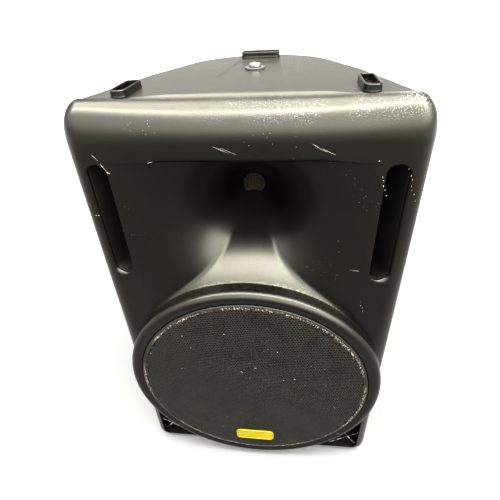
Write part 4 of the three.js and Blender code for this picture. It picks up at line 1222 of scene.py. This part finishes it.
class Paint(Nodes):
    """A procedural material built on one Principled shader, in object coordinates."""

    def __init__(self, name, roughness=0.5, metallic=0.0):
        self.material = bpy.data.materials.new(name)
        self.material.use_nodes = True
        super().__init__(self.material.node_tree, "Object")
        self.shader = self.tree.nodes["Principled BSDF"]
        self.shader.inputs["Roughness"].default_value = roughness
        self.shader.inputs["Metallic"].default_value = metallic

    def shiny(self, level):
        self.shader.inputs["Specular IOR Level"].default_value = level

    def colour(self, output):
        self.link(output, self.shader.inputs["Base Color"])

    def mottled(self, scale, detail, roughness, low, high, dark, light):
        """Blotches of two colours."""
        return self.mix(self.between(self.noise(scale, detail, roughness), low, high), dark, light)

    def rough(self, scale, detail, low, high):
        """Roughness that wanders from low to high."""
        uneven = self.between(self.noise(scale, detail), 0.3, 0.7, low, high)
        self.link(uneven, self.shader.inputs["Roughness"])

    def bump(self, height, distance, strength, normal=None):
        node = self.add("ShaderNodeBump")
        node.inputs["Distance"].default_value = distance
        node.inputs["Strength"].default_value = strength
        self.link(height, node.inputs["Height"])
        if normal:
            self.link(normal, node.inputs["Normal"])
        return node.outputs["Normal"]

    def soft_edges(self, radius):
        """Normals that look as if every edge were rounded."""
        node = self.add("ShaderNodeBevel")
        node.samples = 4
        node.inputs["Radius"].default_value = radius
        return node.outputs["Normal"]

    def facing(self, axis):
        """The part of the surface normal along an axis of the object."""
        geometry = self.add("ShaderNodeNewGeometry")
        parts = self.add("ShaderNodeSeparateXYZ")
        self.link(geometry.outputs["Normal"], parts.inputs["Vector"])
        return parts.outputs[axis]

    def surface(self, normal):
        self.link(normal, self.shader.inputs["Normal"])
        return self.material

    def scratches(self, long_axis, low=0.70):
        """Fine broken lines along one axis, in patches."""
        scale = [260.0, 260.0, 260.0]
        scale["XYZ".index(long_axis)] = 9.0
        lines = self.noise(1.0, 2.0, 0.5, self.stretched(tuple(scale)))
        patches = self.between(self.noise(7.0, 2.0), 0.58, 0.68)
        return self.times(self.between(lines, low, low + 0.03), patches)

    def top_edge_rubbing_and_glints(self):
        """Fine light dots on the rounded top edge of the front: partly rubbed wear and partly a
        painted glint where the highlight falls. They start left of the middle and get denser
        towards the right corner."""
        dots = self.between(self.cells(600.0), 0.36, 0.22)
        uneven = self.between(self.noise(26.0, 3.0), 0.40, 0.70, 0.0, 0.9)
        # Normals tilted this far up are where the highlight falls, so the glint is painted here.
        upward = self.between(self.facing("Z"), 0.3, 0.6)
        high = self.between(self.along("Z"), 0.64, 0.66)
        rightward = self.between(self.along("X"), -0.10, 0.16)
        in_front = self.between(self.along("Y"), -0.10, -0.13)
        patch = self.times(self.times(upward, high), self.times(rightward, in_front))
        return self.times(self.times(dots, uneven), patch)

    def rubbed_ribs(self):
        """The chipped front edges of the ribs in the lower corner pockets."""
        depth = self.along("Y")
        edge = (FACE_Y + RIB_SINK) * MM
        past_front = self.between(depth, edge - 0.0015, edge - 0.0005)
        not_behind = self.between(depth, edge + 0.003, edge + 0.0005)
        facing_front_only = self.between(self.facing("Y"), -0.85, -0.95)
        low = self.between(self.along("Z"), 0.15, 0.145)
        chips = self.between(self.noise(150.0, 3.0), 0.46, 0.56, 0.0, 0.6)
        band = self.times(self.times(past_front, not_behind), facing_front_only)
        return self.times(self.times(band, low), chips)

    def rubbed_grille_edge(self):
        """Chipped dots along the edge of the grille, thickest where the edge stands proud."""
        level = self.add("ShaderNodeMapping")
        level.inputs["Location"].default_value = (0, 0, -WOOFER_Z * MM)
        level.inputs["Scale"].default_value = (1, 0, 1)
        self.link(self.where, level.inputs["Vector"])
        distance = self.add("ShaderNodeVectorMath")
        distance.operation = "LENGTH"
        self.link(level.outputs["Vector"], distance.inputs[0])
        radius = distance.outputs["Value"]
        edge = (GRILLE_RADIUS - 2.5) * MM
        band = self.times(
            self.between(radius, edge - 0.007, edge - 0.003),
            self.between(radius, edge + 0.0005, edge - 0.001),
        )
        chips = self.between(self.noise(420.0, 3.0, 0.7), 0.53, 0.60)
        return self.times(band, self.times(chips, self.between(self.noise(14.0, 2.0), 0.38, 0.52)))

    def specks(self, scale, size):
        """Small chips, in patches."""
        dots = self.between(self.cells(scale), size, size * 0.5)
        patches = self.between(self.noise(11.0, 1.0), 0.62, 0.67)
        return self.times(dots, patches)


def moulded(name, dark, light, rough_low, rough_high, wear=0.0):
    """Moulded plastic with a fine grain, faint mottling and, if worn, light scuffs and a painted
    glint along the top front edge.
    """
    paint = Paint(name)
    tint = paint.mottled(5.0, 4.0, 0.6, 0.35, 0.65, dark, light)
    if wear:
        chip_and_glint = tuple(min(1.0, 6 * c + 0.12) for c in light)
        marks = paint.maths("MAXIMUM", paint.scratches("X"), paint.scratches("Z", 0.73))
        marks = paint.maths("MAXIMUM", marks, paint.specks(230.0, 0.11))
        marks = paint.times(marks, paint.between(paint.along("Y"), -0.13, -0.15))
        # Light dots on the top front edge: rubbing plus a painted glint in the highlight.
        marks = paint.maths("MAXIMUM", marks, paint.top_edge_rubbing_and_glints())
        marks = paint.maths("MAXIMUM", marks, paint.rubbed_ribs())
        tint = paint.mix(paint.times(marks, wear), tint, chip_and_glint)
        dust = paint.between(paint.noise(240.0, 3.0, 0.6), 0.35, 0.75, 0.0, 0.03 * wear)
        upward = paint.between(paint.facing("Z"), 0.3, 1.0)
        dusty = tuple(0.4 * c + 0.16 for c in light)
        tint = paint.mix(paint.times(dust, upward), tint, dusty)
    paint.colour(tint)
    paint.rough(9.0, 2.0, rough_low, rough_high)
    paint.shiny(0.25)
    paint.shader.inputs["Specular Tint"].default_value = (1.0, 0.99, 0.92, 1)
    grain = 0.00005
    smooth = paint.soft_edges(0.0008)
    coarse = paint.bump(paint.noise(320.0, 2.0, 0.5), grain * 2, 0.35, smooth)
    return paint.surface(paint.bump(paint.noise(1500.0, 2.0, 0.5), grain, 0.6, coarse))


def powder_coat(name, dark, light, worn, wear):
    """Powder coated steel, rubbed bright in places and, if worn, round the grille's edge."""
    paint = Paint(name, 0.55)
    paint.shiny(0.3)
    tint = paint.mottled(24.0, 4.0, 0.6, 0.35, 0.65, dark, light)
    rubbed = paint.between(paint.noise(90.0, 4.0, 0.7), 0.72 - 0.1 * wear, 0.80 - 0.1 * wear)
    if wear:
        rubbed = paint.maths("MAXIMUM", rubbed, paint.rubbed_grille_edge())
    paint.colour(paint.mix(rubbed, tint, worn))
    paint.rough(40.0, 3.0, 0.42, 0.62)
    grain = paint.noise(2200.0, 2.0)
    return paint.surface(paint.bump(grain, 0.00005, 0.6, paint.soft_edges(0.0004)))


def plated(name, colour, rough_low, rough_high, long_axis="X"):
    """Bare or plated metal with fine drawn lines."""
    paint = Paint(name, 0.3, 1.0)
    darker = tuple(0.6 * c for c in colour)
    paint.colour(paint.mottled(70.0, 4.0, 0.6, 0.35, 0.7, colour, darker))
    scale = [900.0, 900.0, 900.0]
    scale["XYZ".index(long_axis)] = 30.0
    lines = paint.noise(1.0, 3.0, 0.6, paint.stretched(tuple(scale)))
    paint.rough(45.0, 3.0, rough_low, rough_high)
    return paint.surface(paint.bump(lines, 0.00003, 0.5, paint.soft_edges(0.0003)))


def plain_fibre(name, dark, light, scale, depth, roughness=0.85):
    """Paper pulp, felt, rubber or a sintered block: dull and slightly uneven."""
    paint = Paint(name, roughness)
    paint.colour(paint.mottled(scale / 8, 4.0, 0.6, 0.3, 0.7, dark, light))
    paint.rough(scale / 20, 3.0, roughness - 0.1, roughness + 0.08)
    return paint.surface(paint.bump(paint.noise(scale, 4.0, 0.65), depth, 0.8))


def woven(name, dark, light, pitch):
    """Treated cloth with a plain weave."""
    paint = Paint(name, 0.9)
    paint.shiny(0.15)
    threads = []
    for axis in ("X", "Z"):
        wave = paint.add("ShaderNodeTexWave")
        wave.bands_direction = axis
        wave.inputs["Scale"].default_value = 1 / (pitch * 20)
        wave.inputs["Distortion"].default_value = 0.4
        paint.link(paint.where, wave.inputs["Vector"])
        threads.append(wave.outputs["Fac"])
    weave = paint.maths("MAXIMUM", *threads)
    paint.colour(paint.mix(weave, dark, light))
    return paint.surface(paint.bump(weave, 0.0001, 0.7))


def clear_lens(name, colour):
    """Tinted plastic that lets some light through."""
    paint = Paint(name, 0.12)
    darker = tuple(0.8 * c for c in colour)
    paint.colour(paint.mottled(300.0, 3.0, 0.5, 0.3, 0.7, colour, darker))
    paint.shader.inputs["Transmission Weight"].default_value = 0.35
    return paint.material


def glossy(name, dark, light, rough_low, rough_high):
    """Smooth glossy plastic with light handling marks."""
    paint = Paint(name)
    paint.shiny(0.22)
    marks = paint.scratches("X", 0.68)
    tint = paint.mottled(18.0, 3.0, 0.5, 0.3, 0.7, dark, light)
    paint.colour(paint.mix(paint.times(marks, 0.4), tint, tuple(3 * c + 0.05 for c in light)))
    paint.rough(30.0, 4.0, rough_low, rough_high)
    waves = paint.noise(240.0, 2.0)
    return paint.surface(paint.bump(waves, 0.00003, 0.4, paint.soft_edges(0.0006)))


BODY_DARK, BODY_LIGHT = (0.0012, 0.0009, 0.0006), (0.0020, 0.0016, 0.0011)
MATERIALS = {
    "cabinet_plastic": moulded("cabinet plastic", BODY_DARK, BODY_LIGHT, 0.26, 0.33, wear=1.0),
    "dark_plastic": moulded(
        "dark plastic", (0.0012, 0.0011, 0.0010), (0.0020, 0.0019, 0.0017), 0.45, 0.6,
    ),
    "gloss_black": glossy(
        "gloss black", (0.0012, 0.0012, 0.0012), (0.0030, 0.0030, 0.0028), 0.12, 0.22,
    ),
    "rubber": plain_fibre(
        "rubber", (0.012, 0.012, 0.012), (0.022, 0.022, 0.021), 900.0, 0.00008, 0.8,
    ),
    "grille_steel": powder_coat(
        "grille coat", (0.0020, 0.0016, 0.0011), (0.0038, 0.0031, 0.0022), (0.15, 0.13, 0.10), 0.5,
    ),
    "badge_yellow": glossy("badge yellow", (0.085, 0.070, 0.0002), (0.105, 0.087, 0.0003), 0.3, 0.42),
    "bright_steel": plated("zinc plate", (0.34, 0.34, 0.32), 0.24, 0.42),
    "black_steel": powder_coat(
        "black steel", (0.014, 0.014, 0.015), (0.022, 0.022, 0.023), (0.12, 0.12, 0.12), 0.0,
    ),
    "ferrite": plain_fibre(
        "ferrite", (0.026, 0.026, 0.029), (0.045, 0.045, 0.049), 1200.0, 0.00006, 0.75,
    ),
    "cone_paper": plain_fibre(
        "cone paper", (0.012, 0.011, 0.011), (0.024, 0.022, 0.021), 700.0, 0.0002, 0.88,
    ),
    "treated_cloth": woven("treated cloth", (0.030, 0.022, 0.015), (0.052, 0.040, 0.028), 0.0009),
    "copper": plated("copper winding", (0.60, 0.27, 0.13), 0.3, 0.45),
    "aluminium_black": plated("black anodised", (0.035, 0.036, 0.040), 0.35, 0.5, "Z"),
    "board_green": moulded("solder resist", (0.006, 0.07, 0.03), (0.010, 0.10, 0.045), 0.3, 0.45),
    "winding_tape": glossy("winding tape", (0.42, 0.27, 0.03), (0.52, 0.35, 0.05), 0.3, 0.45),
    "lamp_green": clear_lens("green lens", (0.06, 0.48, 0.14)),
    "lamp_red": clear_lens("red lens", (0.60, 0.04, 0.03)),
    "lead_red": plain_fibre(
        "lead insulation", (0.20, 0.012, 0.01), (0.28, 0.02, 0.016), 400.0, 0.00004, 0.5,
    ),
}
PRINT_WHITE = glossy("printed white", (0.62, 0.62, 0.60), (0.70, 0.70, 0.68), 0.4, 0.5)
RUBBED_PLASTIC = plain_fibre(
    "rubbed plastic", (0.08, 0.07, 0.06), (0.20, 0.18, 0.15), 900.0, 0.00005, 0.7,
)
# The throat screen's bronze is darkened almost to black: painted shade for the dark deep in the
# throat.
SCREEN_BRONZE_IN_PAINTED_SHADE = woven("throat screen mesh in painted shade", (0.003, 0.0018, 0.001), (0.018, 0.011, 0.005), 0.0008)


def give(piece, material):
    piece.data.materials.clear()
    piece.data.materials.append(material)


def paint_everything():
    """Gives every piece its slot's material, apart from a few with one of their own."""
    slots = {entry["node"]: entry["material_slot"] for entry in frame["record"]["subparts"]}
    for node, obj in frame["nodes"].items():
        give(obj, MATERIALS[slots[node]])
    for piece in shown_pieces():
        if piece.name not in frame["nodes"]:
            give(piece, MATERIALS[piece["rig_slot"]])
    for piece in [*pointers, dial_marks]:
        give(piece, PRINT_WHITE)
    give(face_scuffs, RUBBED_PLASTIC)
    # The throat screen gets its near-black bronze, which is painted shade of the throat.
    give(frame["nodes"]["throat_screen"], SCREEN_BRONZE_IN_PAINTED_SHADE)


paint_everything()


# ---------------------------------------------------------------- soft edges on kept CAD nodes

def soften(node, width):
    """Rounds the sharp edges of a node that is shown as the CAD made it."""
    modifier = frame["nodes"][node].modifiers.new("edges", "BEVEL")
    modifier.width = width * MM
    modifier.segments = 2
    modifier.limit_method = "ANGLE"
    modifier.angle_limit = math.radians(40)


for node_name, edge_width in (
    ("heat_sink", 0.5), ("amp_panel", 0.3), ("power_switch", 0.6), ("power_switch_bezel", 0.4),
    ("fuse_drawer", 0.5), ("socket_release_tab", 0.3),
):
    soften(node_name, edge_width)


# ---------------------------------------------------------------- floor, camera and lights

NEAR_FLOOR = (0.066, 0.067, 0.072)
FAR_FLOOR = (0.31, 0.312, 0.32), (0.36, 0.362, 0.37)
NEAR_FLOOR_MIDDLE = (0, -1.2, 0)
NEAR_FLOOR_END, FAR_FLOOR_START = 1.8, 3.8


def make_floor():
    """A floor that is lit until it shows white. It is dark below and in front of the
    speaker, so that the glossy face does not mirror it, and pale further away."""
    reach = 30.0
    mesh = bpy.data.meshes.new("floor")
    corners = [(-reach, -reach, 0), (reach, -reach, 0), (reach, reach, 0), (-reach, reach, 0)]
    mesh.from_pydata(corners, [], [(0, 1, 2, 3)])
    floor = add_object("floor", mesh)
    paint = Paint("pale floor", 0.8)
    distance = paint.add("ShaderNodeVectorMath")
    distance.operation = "DISTANCE"
    distance.inputs[1].default_value = NEAR_FLOOR_MIDDLE
    paint.link(paint.where, distance.inputs[0])
    away = paint.between(distance.outputs["Value"], NEAR_FLOOR_END, FAR_FLOOR_START)
    pale = paint.mix(paint.noise(0.6, 2.0), *FAR_FLOOR)
    paint.colour(paint.mix(away, NEAR_FLOOR, pale))
    mesh.materials.append(paint.material)


def make_camera():
    """A wide lens above the speaker, tipped down and turned a little to the left."""
    eye = Vector((0.0625, -0.5595, 0.7804))
    yaw, pitch, roll = (math.radians(a) for a in (-7.97, 35.38, -3.21))
    flat = math.cos(pitch)
    forward = Vector((math.sin(yaw) * flat, math.cos(yaw) * flat, -math.sin(pitch)))
    level = Vector((math.cos(yaw), -math.sin(yaw), 0))
    upright = level.cross(forward)
    right = level * math.cos(roll) + upright * math.sin(roll)
    up = upright * math.cos(roll) - level * math.sin(roll)
    data = bpy.data.cameras.new("camera")
    photo_width, focal_length = 500, 376.3  # in pixels of the photo's frame
    data.sensor_width = 36
    data.lens = data.sensor_width * focal_length / photo_width
    data.shift_y = 0.0082
    data.clip_start = 0.01
    camera = add_object("camera", data)
    turn = Matrix((right, up, -forward)).transposed()
    camera.matrix_world = Matrix.Translation(eye) @ turn.to_4x4()
    bpy.context.scene.camera = camera


def make_area_light(name, place, target, width, height, watts):
    """A soft lamp, slightly warm, aimed at the target."""
    data = bpy.data.lights.new(name, "AREA")
    data.shape = "RECTANGLE"
    data.size, data.size_y = width, height
    data.energy = watts
    data.color = (1.0, 0.985, 0.88)
    light = add_object(name, data)
    light.location = place
    light.rotation_mode = "QUATERNION"
    direction = Vector(target) - Vector(place)
    light.rotation_quaternion = direction.to_track_quat("-Z", "Y")


def make_world():
    """A pale studio, brightest above and in front of the speaker and towards its right."""
    world = bpy.data.worlds.new("studio")
    world.use_nodes = True
    sky = Nodes(world.node_tree, "Generated")
    above = sky.between(sky.along("Z"), 0.0, 0.35)
    before = sky.between(sky.along("Y"), 0.25, -0.25)
    glow = sky.between(sky.along("X"), -1.0, 1.0, 4.0, 18.0)
    strength = sky.maths("ADD", sky.times(sky.times(above, before), glow), 1.0)
    background = world.node_tree.nodes["Background"]
    background.inputs["Color"].default_value = (1.0, 0.99, 0.93, 1)
    sky.link(strength, background.inputs["Strength"])
    bpy.context.scene.world = world


make_floor()
make_camera()
make_world()
make_area_light("key", (0.3, -0.7, 2.3), (0.3, -0.7, 0), 5.0, 0.45, 240)
make_area_light("overhead", (0.1, 0.1, 2.35), (0.1, 0.1, 0), 3.4, 0.8, 145)
make_area_light("back", (0, 1.5, 2.2), (0, 0, 0.6), 2.2, 0.9, 50)
view = bpy.context.scene.view_settings
view.view_transform = "Standard"
view.exposure = 0.55
view.gamma = 0.75
